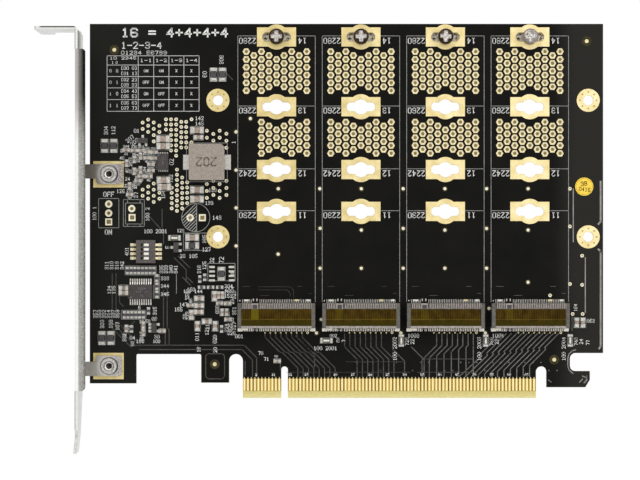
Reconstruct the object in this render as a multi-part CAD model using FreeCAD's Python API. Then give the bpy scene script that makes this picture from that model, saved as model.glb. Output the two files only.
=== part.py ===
import FreeCAD, Part
import math
import os
from FreeCAD import Vector

# An adapter card that carries four solid-state modules in one expansion slot. Sizes are in millimetres.
# X runs along the card from its bracket to its far end, Y runs through the board with the component
# side at -Y, and Z runs up from the edge connector. The origin is the middle of the key notch in the
# gold tongue, on the tongue's bottom edge and halfway through the board.

# Circuit board
board_thickness = 1.57
board_left = 55.82
board_right = 91.3
board_top = 107.25
edge_round = 0.5

# Gold tongue of the edge connector
contact_pitch = 1.0
contact_width = 0.7
contact_height = 5.55
contact_skin = 0.04
contact_setback = 0.15
contacts_before_key = 11
contacts_after_key = 71
key_to_contact = 1.5
key_notch_width = 1.9
key_notch_depth = 9.05
tongue_margin = 0.05
tongue_bevel_height = 1.95
tongue_bevel_depth = 0.4

# Cut-outs and feet along the board's bottom edge
bracket_foot_width = 13.32
bracket_foot_bottom = 4.2
cut_out_top = 12.6
key_foot_left = -23.9
key_foot_width = 8.0
key_foot_bottom = 4.4
last_notch_width = 3.05
hook_width = 12.4
hook_bottom = 3.1
hook_top = 7.7
hook_chamfer_across = 1.3
hook_chamfer_up = 2.15
latch_gap_inset = 5.7
latch_gap_top = 12.9
latch_gap_round = 1.6

# Holes for a heatsink plate
plate_hole_radius = 1.5
plate_hole_left = -19.1
plate_hole_right_margin = 4.25
plate_hole_low = 46.2
plate_hole_rise = 39.15

# Module bays
bay_count = 4
first_bay = -2.3
bay_pitch = 24.2
module_edge = 23.5
module_lengths = [30.0, 42.0, 60.0, 80.0]
slot_round_radius = 2.2
slot_length = 8.15
slot_height = 2.6
slot_wing_chamfer = 0.76

# Standoffs and module screws
seat_height = 2.5
module_thickness = 0.8
standoff_barrel_radius = 2.05
standoff_flange_length = 9.8
standoff_flange_width = 5.2
standoff_flange_chamfer = 1.0
standoff_flange_thickness = 0.9
screw_bore_radius = 1.05
screw_shank_radius = 1.0
screw_shank_length = 2.8
screw_head_radius = 2.2
screw_head_height = 1.2
screw_head_chamfer = 0.45

# Module sockets
socket_width = 22.2
socket_bottom = 20.1
socket_top = 27.25
socket_height = 4.2
socket_mouth_width = 20.1
socket_mouth_gap = 1.1
socket_key_offset = -6.125
socket_key_width = 1.0
socket_lip_setback = 1.6
socket_lip_thickness = 0.55
socket_lip_slope = 0.88
socket_floor_slope_length = 0.9
socket_floor_slope_depth = 0.7
socket_lead_pitch = 0.5
socket_lead_width = 0.22
socket_lead_thickness = 0.2
socket_lead_length = 0.8
socket_lead_places = 38
socket_keyed_out = 4
anchor_width = 1.25
anchor_length = 0.95
anchor_thickness = 0.35
tape_width = 20.0
tape_bottom = 20.85
tape_top = 25.6
tape_thickness = 0.06

# Slot bracket
bracket_gap = 2.28
bracket_thickness = 0.86
bracket_width = 18.42
bracket_reach = 14.4
bracket_top = 105.55
bracket_length = 120.65
bend_radius = 0.45
foot_length = 11.43
foot_width = 21.59
foot_notch_length = 7.4
foot_notch_reach = 14.0
foot_notch_round = 2.2
foot_round = 1.0
lip_width = 3.0
lip_bend_radius = 0.6
lip_top = 99.15
lip_bottom = 2.75
lip_top_round = 0.9
lip_bottom_round = 1.2
blade_shoulder = 3.0
tongue_shoulder = -8.0
tongue_front_step = 2.2
tongue_width = 9.4
tongue_kick = 0.6
tongue_kick_drop = 1.5
tip_chamfer = 1.0

# Bracket tabs and their screws
tab_reaches = [9.2, 9.55]
tab_neck_reach = 1.9
tab_width = 5.8
tab_neck_width = 4.1
tab_round = 0.9
tab_heights = [9.25, 64.2]
tab_neck_rises = [-0.85, 0.75]
tab_window_clearance = 0.15
tab_screw_inset = 5.6
collar_radius = 2.2
collar_foot_radius = 2.65
collar_height = 1.1
collar_bore_radius = 1.5
tab_screw_radius = 1.44
tab_screw_recess = 0.35
tab_hole_radius = 1.7
tab_screw_head_radius = 2.8
tab_screw_head_height = 1.7
tab_screw_head_chamfer = 0.6

# Option switch with four sliders
switch_x = -39.7
switch_z = 42.0
switch_width = 5.5
switch_length = 6.6
switch_base_height = 1.5
switch_cover_height = 0.75
switch_pitch = 1.27
slider_count = 4
slider_knob_length = 1.3
slider_knob_width = 0.74
slider_knob_rise = 0.25
slider_plate_length = 2.0
slider_plate_thickness = 0.35
slider_travel = 0.95
slider_rest_offset = 0.25
slider_clearance = 0.06
switch_lead_reach = 1.7
switch_lead_width = 0.7
switch_lead_thickness = 0.2
switch_lead_lift = 0.5

# Power inductor
coil_x = -22.24
coil_z = 67.6
coil_width = 10.1
coil_length = 10.3
coil_height = 4.0
coil_chamfer = 0.8
coil_terminal_length = 4.1
coil_terminal_reach = 1.6
coil_terminal_thickness = 0.25
coil_terminal_rise = 2.4

# Chips with leads: middle x, middle z, width, length, height
controller_body = (-41.24, 30.45, 6.6, 4.25, 1.05)
controller_lead_pitch = 0.65
controller_leads_a_side = 10
controller_lead_width = 0.3
controller_lead_reach = 1.6
regulator_body = (-34.86, 67.7, 3.2, 4.7, 0.9)
transistor_length = 2.9
transistor_width = 1.4
transistor_height = 1.0
transistor_lead_reach = 0.65
transistor_lead_width = 0.42
transistor_lead_offset = 0.95
lead_thickness = 0.15
lead_lift = 0.35
lead_knee = 0.45

# Chip parts: length, width, height and the length of each metal end, which stands proud of the body
large_chip = (3.2, 1.7, 1.15, 0.6)
medium_chip = (2.3, 1.2, 0.8, 0.5)
small_chip = (1.6, 0.85, 0.5, 0.35)
led_chip = (3.2, 1.35, 0.8, 0.45)
chip_end_proud = 0.04

# Round sticker
sticker_x = 85.9
sticker_z = 60.6
sticker_radius = 2.6
sticker_thickness = 0.08

# Sizes that follow from the ones above
component_face = -board_thickness / 2
solder_face = board_thickness / 2
first_contact = -key_to_contact - (contacts_before_key - 1) * contact_pitch
last_contact = key_to_contact + (contacts_after_key - 1) * contact_pitch
tongue_left = first_contact - contact_pitch / 2 + tongue_margin
tongue_right = last_contact + contact_pitch / 2 + tongue_margin
hook_left = tongue_right + last_notch_width
hook_right = hook_left + hook_width
latch_gap_left = hook_right - latch_gap_inset
bay_middles = [first_bay + bay * bay_pitch for bay in range(bay_count)]
plate_hole_right = board_right - plate_hole_right_margin
blade_inner = -board_left - bracket_gap
blade_outer = blade_inner - bracket_thickness
bracket_front = component_face - bracket_reach
bracket_back = bracket_front + bracket_width
tab_screw_x = tab_screw_inset - board_left
tab_back = component_face
tab_front = tab_back - bracket_thickness


def place(plane, across, up, depth=0.0):
    if plane == "XZ":
        return Vector(across, depth, up)
    if plane == "XY":
        return Vector(across, up, depth)
    return Vector(depth, across, up)


def outline(plane, corners, depth):
    # A closed wire through (across, up, radius) corners, each corner rounded by its own radius.
    bends = []
    for index, (across, up, radius) in enumerate(corners):
        here = place(plane, across, up, depth)
        if radius == 0:
            bends.append((here, here, None))
            continue
        before = place(plane, *corners[index - 1][:2], depth)
        after = place(plane, *corners[(index + 1) % len(corners)][:2], depth)
        to_before = (before - here).normalize()
        to_after = (after - here).normalize()
        half_angle = to_before.getAngle(to_after) / 2
        reach = radius / math.tan(half_angle)
        inward = (to_before + to_after).normalize()
        middle = here + inward * (radius / math.sin(half_angle) - radius)
        bends.append((here + to_before * reach, here + to_after * reach, middle))
    edges = []
    for index, (start, finish, middle) in enumerate(bends):
        if middle is not None:
            edges.append(Part.Arc(start, middle, finish).toShape())
        following = bends[(index + 1) % len(bends)][0]
        if finish.distanceToPoint(following) > 1e-5:
            edges.append(Part.makeLine(finish, following))
    return Part.Wire(edges)


def prism(plane, corners, low, high):
    face = Part.Face(outline(plane, corners, low))
    return face.extrude(place(plane, 0, 0, high - low))


def block(x_low, x_high, y_low, y_high, z_low, z_high):
    size = (x_high - x_low, y_high - y_low, z_high - z_low)
    return Part.makeBox(*size, Vector(x_low, y_low, z_low))


def rod(x, z, radius, y_low, y_high):
    return Part.makeCylinder(radius, y_high - y_low, Vector(x, y_low, z), Vector(0, 1, 0))


def chamfered(x, z, length, height, cut):
    # The corners of a rectangle in the board's plane with its four corners cut off.
    half = length / 2
    rise = height / 2
    return [
        (x - half, z - rise + cut, 0),
        (x - half + cut, z - rise, 0),
        (x + half - cut, z - rise, 0),
        (x + half, z - rise + cut, 0),
        (x + half, z + rise - cut, 0),
        (x + half - cut, z + rise, 0),
        (x - half + cut, z + rise, 0),
        (x - half, z + rise - cut, 0),
    ]


def fuse(solids):
    return solids[0].fuse(solids[1:]).removeSplitter()


def save(node, *solids):
    shape = solids[0] if len(solids) == 1 else Part.makeCompound(list(solids))
    shape.exportStep(f"parts/{node}.step")
    count = len(shape.Solids)
    print(f"{node}: {count} solids, {shape.Volume:.3f} mm3, valid {shape.isValid()}")


def contact_positions():
    before = [-key_to_contact - index * contact_pitch for index in range(contacts_before_key)]
    after = [key_to_contact + index * contact_pitch for index in range(contacts_after_key)]
    return before + after


def board_outline():
    left = -board_left
    key_foot_right = key_foot_left + key_foot_width
    notch_half = key_notch_width / 2
    first_round = (tongue_left - key_foot_right) / 2
    last_round = last_notch_width / 2
    return [
        (left, bracket_foot_bottom, 0),
        (left + bracket_foot_width, bracket_foot_bottom, 0),
        (left + bracket_foot_width, cut_out_top, edge_round),
        (key_foot_left, cut_out_top, edge_round),
        (key_foot_left, key_foot_bottom, 0),
        (key_foot_right, key_foot_bottom, 0),
        (key_foot_right, cut_out_top, first_round),
        (tongue_left, cut_out_top, first_round),
        (tongue_left, 0, 0),
        (-notch_half, 0, 0),
        (-notch_half, key_notch_depth, notch_half),
        (notch_half, key_notch_depth, notch_half),
        (notch_half, 0, 0),
        (tongue_right, 0, 0),
        (tongue_right, key_notch_depth, last_round),
        (hook_left, key_notch_depth, last_round),
        (hook_left, hook_bottom, 0),
        (hook_right - hook_chamfer_across, hook_bottom, 0),
        (hook_right, hook_bottom + hook_chamfer_up, 0),
        (hook_right, hook_top, 0),
        (latch_gap_left, hook_top, latch_gap_round),
        (latch_gap_left, latch_gap_top, latch_gap_round),
        (board_right, latch_gap_top, 0),
        (board_right, board_top, 0),
        (left, board_top, 0),
    ]


def module_slot(x, z, low, high):
    # A round hole with two wings, which takes a standoff from the solder side.
    wings = chamfered(x, z, slot_length, slot_height, slot_wing_chamfer)
    return fuse([prism("XZ", wings, low, high), rod(x, z, slot_round_radius, low, high)])


def circuit_board():
    board = prism("XZ", board_outline(), component_face, solder_face)
    past = 1.0
    low = component_face - past
    high = solder_face + past
    holes = []
    for x in (plate_hole_left, plate_hole_right):
        for z in (plate_hole_low, plate_hole_low + plate_hole_rise):
            holes.append(rod(x, z, plate_hole_radius, low, high))
    for x in bay_middles:
        for length in module_lengths:
            holes.append(module_slot(x, module_edge + length, low, high))
    for z in tab_heights:
        holes.append(rod(tab_screw_x, z, tab_hole_radius, low, high))
    for side in (-1, 1):
        face = side * board_thickness / 2
        bevel = [
            (face + side * past, -past, 0),
            (face + side * past, tongue_bevel_height, 0),
            (face, tongue_bevel_height, 0),
            (face - side * tongue_bevel_depth, 0, 0),
            (face - side * tongue_bevel_depth, -past, 0),
        ]
        holes.append(prism("YZ", bevel, tongue_left - past, tongue_right + past))
    return board.cut(holes)


def edge_contacts():
    # The gold fingers stand on both faces of the tongue and end just above its bevel.
    half = contact_width / 2
    low = tongue_bevel_height + contact_setback
    fingers = []
    for x in contact_positions():
        for inner, outer in (
            (component_face - contact_skin, component_face),
            (solder_face, solder_face + contact_skin),
        ):
            fingers.append(block(x - half, x + half, inner, outer, low, contact_height))
    return fingers


def bracket():
    bend_outer = bend_radius + bracket_thickness
    lip_outer = lip_bend_radius + bracket_thickness
    foot_low = bracket_top - bracket_thickness
    tip = bracket_top - bracket_length
    foot_end = blade_outer - foot_length
    notch_end = blade_outer - foot_notch_length
    notch_start = bracket_front + foot_notch_reach
    tongue_front = bracket_front + tongue_front_step
    tongue_back = tongue_front + tongue_width
    kick_start = tongue_shoulder - tongue_kick_drop

    blade_edge = [
        (bracket_front, foot_low - bend_radius, 0),
        (bracket_back, foot_low - bend_radius, 0),
        (bracket_back, blade_shoulder, 0),
        (tongue_back, tongue_shoulder, 0),
        (tongue_back, tip + tip_chamfer, 0),
        (tongue_back - tip_chamfer, tip, 0),
        (tongue_front + tip_chamfer, tip, 0),
        (tongue_front, tip + tip_chamfer, 0),
        (tongue_front, tongue_shoulder - tongue_front_step, 0),
        (bracket_front, tongue_shoulder, 0),
    ]
    profile = [
        (blade_inner, foot_low - bend_radius, 0),
        (blade_inner, kick_start, 0),
        (blade_inner - tongue_kick, tip, 0),
        (blade_outer - tongue_kick, tip, 0),
        (blade_outer, kick_start, 0),
        (blade_outer, foot_low - bend_radius, 0),
    ]
    wide = blade_outer - tongue_kick - 1, blade_inner + 1
    blade = prism("YZ", blade_edge, *wide).common(prism("XZ", profile, bracket_front, bracket_back))

    foot_bend = [
        (blade_outer - bend_radius, foot_low, 0),
        (blade_outer, foot_low, bend_radius),
        (blade_outer, foot_low - bend_radius, 0),
        (blade_inner, foot_low - bend_radius, 0),
        (blade_inner, bracket_top, bend_outer),
        (blade_outer - bend_radius, bracket_top, 0),
    ]
    foot_edge = [
        (blade_outer - bend_radius, bracket_front, 0),
        (blade_outer - bend_radius, notch_start, 0),
        (notch_end, notch_start, foot_notch_round),
        (notch_end, bracket_front + foot_width, 0),
        (foot_end, bracket_front + foot_width, foot_round),
        (foot_end, bracket_front, foot_round),
    ]
    foot = [
        prism("XZ", foot_bend, bracket_front, notch_start),
        prism("XY", foot_edge, foot_low, bracket_top),
    ]

    # The stiffening lip along the component-side edge
    lip_end = blade_outer + lip_width
    lip_bend = [
        (lip_end, bracket_front, 0),
        (lip_end, bracket_front + bracket_thickness, 0),
        (blade_inner, bracket_front + bracket_thickness, lip_bend_radius),
        (blade_inner, bracket_front + lip_outer, 0),
        (blade_outer, bracket_front + lip_outer, 0),
        (blade_outer, bracket_front, lip_outer),
    ]
    lip_face = [
        (blade_outer - 1, lip_bottom, 0),
        (lip_end, lip_bottom, lip_bottom_round),
        (lip_end, lip_top, lip_top_round),
        (blade_outer - 1, lip_top, 0),
    ]
    lip_depth = bracket_front - 1, bracket_front + lip_outer
    lip = prism("XY", lip_bend, lip_bottom, lip_top).common(prism("XZ", lip_face, *lip_depth))
    room = block(blade_outer - 1, blade_inner + 1, *lip_depth, lip_bottom, lip_top)
    return tabs(fuse([blade.cut(room), *foot, lip]))


def tabs(sheet):
    # Each tab is cut free in the blade and folded over onto the board, so it leaves a window of its shape.
    bend_outer = bend_radius + bracket_thickness
    flat_start = blade_inner + bend_radius
    root = tab_back + bend_radius
    allowance = (bend_radius + bracket_thickness / 2) * math.pi / 2
    neck_end = tab_neck_reach - board_left
    for middle, neck_rise, reach in zip(tab_heights, tab_neck_rises, tab_reaches):
        tab_end = reach - board_left
        neck_low = middle + neck_rise - tab_neck_width / 2
        neck_high = neck_low + tab_neck_width
        low = middle - tab_width / 2
        high = middle + tab_width / 2
        flat = [
            (flat_start, neck_low, 0),
            (neck_end, neck_low, 0),
            (neck_end, low, tab_round),
            (tab_end, low, tab_round),
            (tab_end, high, tab_round),
            (neck_end, high, tab_round / 2),
            (neck_end, neck_high, 0),
            (flat_start, neck_high, 0),
        ]
        bend = [
            (flat_start, tab_front, 0),
            (flat_start, tab_back, 0),
            (blade_inner, tab_back, bend_radius),
            (blade_inner, root, 0),
            (blade_outer, root, 0),
            (blade_outer, tab_front, bend_outer),
        ]
        window_neck = root - allowance - (neck_end - flat_start)
        window_end = root - allowance - (tab_end - flat_start)
        gap = tab_window_clearance
        across = blade_outer - 1, blade_inner + 1
        window = fuse([
            block(*across, window_neck, root, neck_low - gap, neck_high + gap),
            block(*across, window_end - gap, window_neck + gap, low - gap, high + gap),
        ])
        collar_foot = Vector(tab_screw_x, tab_front, middle)
        tab = [
            prism("XZ", flat, tab_front, tab_back),
            prism("XY", bend, neck_low, neck_high),
            Part.makeCone(collar_foot_radius, collar_radius, collar_height, collar_foot, Vector(0, -1, 0)),
        ]
        bore = rod(tab_screw_x, middle, collar_bore_radius, tab_front - collar_height - 1, tab_back + 1)
        sheet = fuse([sheet.cut(window), *tab]).cut(bore)
    return sheet


def pan_head(x, z, radius, height, chamfer, seat, side):
    # A screw head whose seat is at y = seat and whose top is on the side given, -1 or +1.
    outward = Vector(0, side, 0)
    wall = Part.makeCylinder(radius, height - chamfer, Vector(x, seat, z), outward)
    shoulder = Vector(x, seat + side * (height - chamfer), z)
    return wall.fuse(Part.makeCone(radius, radius - chamfer, chamfer, shoulder, outward))


def bracket_screw(z):
    sizes = tab_screw_head_radius, tab_screw_head_height, tab_screw_head_chamfer
    end = tab_front - collar_height + tab_screw_recess
    shank = rod(tab_screw_x, z, tab_screw_radius, end, solder_face)
    return fuse([pan_head(tab_screw_x, z, *sizes, solder_face, 1), shank])


def standoff(x, z):
    seat = component_face - seat_height
    flange_back = solder_face + standoff_flange_thickness
    sizes = standoff_flange_length, standoff_flange_width, standoff_flange_chamfer
    body = fuse([
        prism("XZ", chamfered(x, z, *sizes), solder_face, flange_back),
        rod(x, z, standoff_barrel_radius, seat, solder_face),
    ])
    return body.cut(rod(x, z, screw_bore_radius, seat - 1, flange_back + 1))


def module_screw(x, z):
    seat = component_face - seat_height
    shank = rod(x, z, screw_shank_radius, seat, seat + screw_shank_length)
    sizes = screw_head_radius, screw_head_height, screw_head_chamfer
    return fuse([pan_head(x, z, *sizes, seat, -1), shank])


def socket_housing(middle):
    face = component_face
    half = socket_width / 2
    top = face - socket_height
    body = block(middle - half, middle + half, top, face, socket_bottom, socket_top)
    mouth_half = socket_mouth_width / 2
    mouth_middle = face - seat_height - module_thickness / 2
    mouth_low = mouth_middle - socket_mouth_gap / 2
    mouth_high = mouth_middle + socket_mouth_gap / 2
    mouth_span = middle - mouth_half, middle + mouth_half
    mouth = block(*mouth_span, mouth_low, mouth_high, module_edge, socket_top + 1)
    key_middle = middle + socket_key_offset
    key_half = socket_key_width / 2
    key = block(key_middle - key_half, key_middle + key_half, mouth_low, mouth_high, module_edge, socket_top)
    # Both lips of the mouth are sloped so that a module slides in at an angle.
    lead_in = [
        (top - 1, socket_top + 1, 0),
        (top - 1, socket_top - socket_lip_setback, 0),
        (top, socket_top - socket_lip_setback, 0),
        (top + socket_lip_thickness, socket_top - socket_lip_slope, 0),
        (top + socket_lip_thickness, socket_top + 1, 0),
    ]
    relief = prism("YZ", lead_in, *mouth_span)
    floor_slope = [
        (mouth_high, socket_top - socket_floor_slope_length, 0),
        (mouth_high + socket_floor_slope_depth, socket_top, 0),
        (mouth_high + socket_floor_slope_depth, socket_top + 1, 0),
        (mouth_high, socket_top + 1, 0),
    ]
    slope = prism("YZ", floor_slope, *mouth_span)
    return body.cut([mouth.cut(key), relief, slope])


def socket_contacts(middle):
    # The row of solder leads that leaves the back of the housing, with none at the key.
    leads = []
    half = socket_lead_width / 2
    face = component_face
    low = socket_bottom - socket_lead_length
    for index in range(socket_lead_places):
        offset = (index - (socket_lead_places - 1) / 2) * socket_lead_pitch
        if abs(offset - socket_key_offset) < socket_keyed_out * socket_lead_pitch / 2:
            continue
        x = middle + offset
        leads.append(block(x - half, x + half, face - socket_lead_thickness, face, low, socket_bottom))
    return leads


def socket_anchors(middle):
    anchors = []
    for side in (-1, 1):
        outer = middle + side * socket_width / 2
        near, far = sorted((outer, outer - side * anchor_width))
        anchors.append(block(
            near, far, component_face - anchor_thickness, component_face,
            socket_bottom - anchor_length, socket_bottom,
        ))
    return anchors


def socket_tape(middle):
    top = component_face - socket_height
    half = tape_width / 2
    return block(middle - half, middle + half, top - tape_thickness, top, tape_bottom, tape_top)


def slider_rows():
    return [switch_z + (index - (slider_count - 1) / 2) * switch_pitch for index in range(slider_count)]


def slider_rest():
    return switch_x + slider_rest_offset


def switch_levels():
    # The y of the base's top, of the cavity floor in it and of the cover's top.
    base_top = component_face - switch_base_height
    cavity_floor = base_top + slider_plate_thickness + 2 * slider_clearance
    return base_top, cavity_floor, base_top - switch_cover_height


def switch_base():
    base_top, cavity_floor, _ = switch_levels()
    half_width = switch_width / 2
    half_length = switch_length / 2
    base = block(
        switch_x - half_width, switch_x + half_width, base_top, component_face,
        switch_z - half_length, switch_z + half_length,
    )
    rest = slider_rest()
    low = rest - slider_plate_length / 2 - slider_travel - slider_clearance
    high = rest + slider_plate_length / 2 + slider_clearance
    half = slider_knob_width / 2 + slider_clearance
    wells = [block(low, high, base_top - 1, cavity_floor, z - half, z + half) for z in slider_rows()]
    return base.cut(wells)


def switch_cover():
    base_top, _, cover_top = switch_levels()
    half_width = switch_width / 2
    half_length = switch_length / 2
    cover = block(
        switch_x - half_width, switch_x + half_width, cover_top, base_top,
        switch_z - half_length, switch_z + half_length,
    )
    rest = slider_rest()
    low = rest - slider_knob_length / 2 - slider_travel - slider_clearance
    high = rest + slider_knob_length / 2 + slider_clearance
    half = slider_knob_width / 2 + slider_clearance
    windows = [block(low, high, cover_top - 1, base_top + 1, z - half, z + half) for z in slider_rows()]
    return cover.cut(windows)


def switch_slider(z):
    # The plate slides in the base under the cover, and the knob stands out through the window.
    base_top, _, cover_top = switch_levels()
    x = slider_rest()
    half = slider_knob_width / 2
    plate_top = base_top + slider_clearance
    plate = block(
        x - slider_plate_length / 2, x + slider_plate_length / 2,
        plate_top, plate_top + slider_plate_thickness, z - half, z + half,
    )
    knob = block(
        x - slider_knob_length / 2, x + slider_knob_length / 2,
        cover_top - slider_knob_rise, plate_top + slider_plate_thickness / 2, z - half, z + half,
    )
    return fuse([plate, knob])


def gull_lead(x, z, direction, root, reach, width, lift, thickness):
    # A lead that leaves a body at root, drops to the board and ends in a flat foot. direction is a unit
    # step along X or Z, and x, z is the middle of the body's side where the lead leaves.
    top = component_face - lift - thickness
    knee = reach * lead_knee
    shape = [
        (0, top, 0),
        (0, top + thickness, 0),
        (knee - thickness, component_face, 0),
        (reach, component_face, 0),
        (reach, component_face - thickness, 0),
        (knee, component_face - thickness, 0),
    ]
    step_x, step_z = direction
    if step_x:
        corners = [(x + step_x * (root + along), y, 0) for along, y, _ in shape]
        return prism("XY", corners, z - width / 2, z + width / 2)
    corners = [(y, z + step_z * (root + along), 0) for along, y, _ in shape]
    return prism("YZ", corners, x - width / 2, x + width / 2)


def switch_leads():
    leads = []
    for z in slider_rows():
        for side in (-1, 1):
            leads.append(gull_lead(
                switch_x, z, (side, 0), switch_width / 2, switch_lead_reach,
                switch_lead_width, switch_lead_lift, switch_lead_thickness,
            ))
    return leads


def coil_body():
    half_width = coil_width / 2
    half_length = coil_length / 2
    corners = [
        (coil_x - half_width, coil_z - half_length, coil_chamfer / 2),
        (coil_x + half_width, coil_z - half_length, coil_chamfer / 2),
        (coil_x + half_width, coil_z + half_length - coil_chamfer, 0),
        (coil_x + half_width - coil_chamfer, coil_z + half_length, 0),
        (coil_x - half_width, coil_z + half_length, coil_chamfer / 2),
    ]
    return prism("XZ", corners, component_face - coil_height, component_face)


def coil_terminals():
    # Each terminal is a strip that lies on the board and turns up against the body's side.
    terminals = []
    half = coil_terminal_length / 2
    for side in (-1, 1):
        wall = coil_x + side * coil_width / 2
        end = wall + side * coil_terminal_reach
        bent = wall + side * coil_terminal_thickness
        corners = [
            (wall, component_face, 0),
            (end, component_face, 0),
            (end, component_face - coil_terminal_thickness, 0),
            (bent, component_face - coil_terminal_thickness, 0),
            (bent, component_face - coil_terminal_rise, 0),
            (wall, component_face - coil_terminal_rise, 0),
        ]
        terminals.append(prism("XY", corners, coil_z - half, coil_z + half))
    return terminals


def flat_body(body):
    x, z, width, length, height = body
    face = component_face
    return block(x - width / 2, x + width / 2, face - height, face, z - length / 2, z + length / 2)


def controller_leads():
    x, z, _, length, height = controller_body
    leads = []
    for index in range(controller_leads_a_side):
        offset = (index - (controller_leads_a_side - 1) / 2) * controller_lead_pitch
        for side in (-1, 1):
            leads.append(gull_lead(
                x + offset, z, (0, side), length / 2, controller_lead_reach,
                controller_lead_width, lead_lift, lead_thickness,
            ))
    return leads


# Small transistors: x, z, the side of the first leads, their offsets, and the offsets of those opposite
lead_pair = (-transistor_lead_offset, transistor_lead_offset)
lead_triple = (-transistor_lead_offset, 0, transistor_lead_offset)
transistor_places = [
    (-40.65, 73.8, (0, 1), (0,), lead_pair),
    (-31.1, 43.2, (-1, 0), (0,), lead_pair),
    (-37.4, 20.15, (-1, 0), lead_triple, lead_pair),
]


def transistor_bodies():
    bodies = []
    for x, z, direction, _, _ in transistor_places:
        sizes = (transistor_length, transistor_width)
        width, length = sizes if direction[1] else sizes[::-1]
        bodies.append(flat_body((x, z, width, length, transistor_height)))
    return bodies


def transistor_leads():
    leads = []
    for x, z, (step_x, step_z), near, far in transistor_places:
        for offsets, side in ((near, 1), (far, -1)):
            for offset in offsets:
                leads.append(gull_lead(
                    x + offset * abs(step_z), z + offset * abs(step_x), (step_x * side, step_z * side),
                    transistor_width / 2, transistor_lead_reach, transistor_lead_width,
                    lead_lift, lead_thickness,
                ))
    return leads


def row_of(count, x, z, pitch, turned, along="X"):
    middle = (count - 1) / 2
    if along == "X":
        return [(x + (index - middle) * pitch, z, turned) for index in range(count)]
    return [(x, z + (index - middle) * pitch, turned) for index in range(count)]


# Chip parts as (x, z, turned): turned ones have their length along Z
large_capacitor_places = [
    (-34.85, 74.27, False), (-34.8, 72.2, False), (-34.7, 62.45, False), (-34.5, 60.5, False),
    (-25.1, 76.75, False), (-25.1, 59.7, False), (-25.1, 57.0, False), (-26.5, 46.0, False),
]
large_bead_places = [
    (-51.54, 72.29, True), (-48.95, 72.29, True), (-52.35, 17.2, True), (-49.78, 17.2, True),
    (-20.31, 92.7, True), (-17.82, 92.7, True), (-26.5, 43.75, False), (-18.1, 35.6, True),
]
medium_capacitor_places = [
    (-24.7, 74.7, False), (-46.15, 31.55, False), (-46.15, 30.2, False), (83.7, 21.6, True),
    (85.5, 21.6, True), (-24.5, 28.55, False), (-24.5, 26.5, False), (-24.6, 24.7, False),
    (-26.65, 23.85, True), (-20.05, 29.2, True), (-22.3, 21.95, False), (-24.95, 20.6, True),
    (-19.9, 20.6, True),
]
resistor_places = [
    *row_of(8, -41.25, 36.55, 1.09, True),
    *row_of(6, -43.2, 23.85, 1.09, True),
    *row_of(3, -36.6, 32.05, 2.3, True, "Z"),
    (-24.3, 34.1, True), (-22.9, 34.6, True),
    *row_of(3, -21.2, 31.75, 2.6, False),
    (-39.0, 25.0, True), (-18.05, 19.8, True), (-43.85, 19.8, True),
]
small_capacitor_places = [
    *row_of(2, -18.35, 29.5, 1.1, True),
    *row_of(2, -17.25, 24.6, 1.3, True),
    (-18.6, 27.2, False), (-16.3, 27.1, False), (-16.2, 22.55, False), (-26.9, 26.6, False),
    (-45.3, 19.95, True), (-40.5, 20.9, True), (-40.5, 18.75, True), (-35.1, 19.25, False),
    (-2.1, 10.65, False),
]
converter_chip_places = [
    (-43.1, 71.0, False), *row_of(2, -43.1, 66.7, 3.4, True, "Z"), *row_of(2, -41.25, 67.4, 4.0, True, "Z"),
    (-41.1, 71.0, False), *row_of(2, -39.4, 69.7, 1.7, False, "Z"), *row_of(2, -37.4, 69.6, 1.7, False, "Z"),
    *row_of(2, -38.3, 66.1, 1.7, False, "Z"), (-38.9, 63.55, False), (-42.0, 62.25, False),
    (-44.4, 60.8, True), (-44.4, 58.35, False), (-45.4, 71.1, False), (-45.25, 67.3, True),
    (-41.1, 63.6, False),
]
led_places = [
    (-31.55, 45.9, False), (12.0, 16.5, False),
    *[(middle + 11.55, 16.5, True) for middle in bay_middles[1:]],
]


def chip_part(size, spot):
    # A chip part is a ceramic body between two slightly larger metal ends.
    length, width, height, end = size
    x, z, turned = spot
    skin = chip_end_proud
    face = component_face
    body_half = length / 2 - end
    body = (x - body_half, x + body_half, z - width / 2 + skin, z + width / 2 - skin)
    ends = [
        (x - length / 2, x - body_half, z - width / 2, z + width / 2),
        (x + body_half, x + length / 2, z - width / 2, z + width / 2),
    ]

    def stand(area, top):
        x_low, x_high, z_low, z_high = area
        if turned:
            x_low, x_high, z_low, z_high = (
                x + area[2] - z, x + area[3] - z, z + area[0] - x, z + area[1] - x,
            )
        return block(x_low, x_high, top, face, z_low, z_high)

    return stand(body, face - height + skin), [stand(area, face - height) for area in ends]


def save_chips(body_node, end_node, size, spots):
    pairs = [chip_part(size, spot) for spot in spots]
    save(body_node, *[body for body, _ in pairs])
    save(end_node, *[end for _, ends in pairs for end in ends])


def save_blocks(node, size, spots):
    # The smallest chip parts are one block each, ends included.
    length, width, height, _ = size
    blocks = []
    for x, z, turned in spots:
        across, along = (width, length) if turned else (length, width)
        blocks.append(flat_body((x, z, across, along, height)))
    save(node, *blocks)


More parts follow.
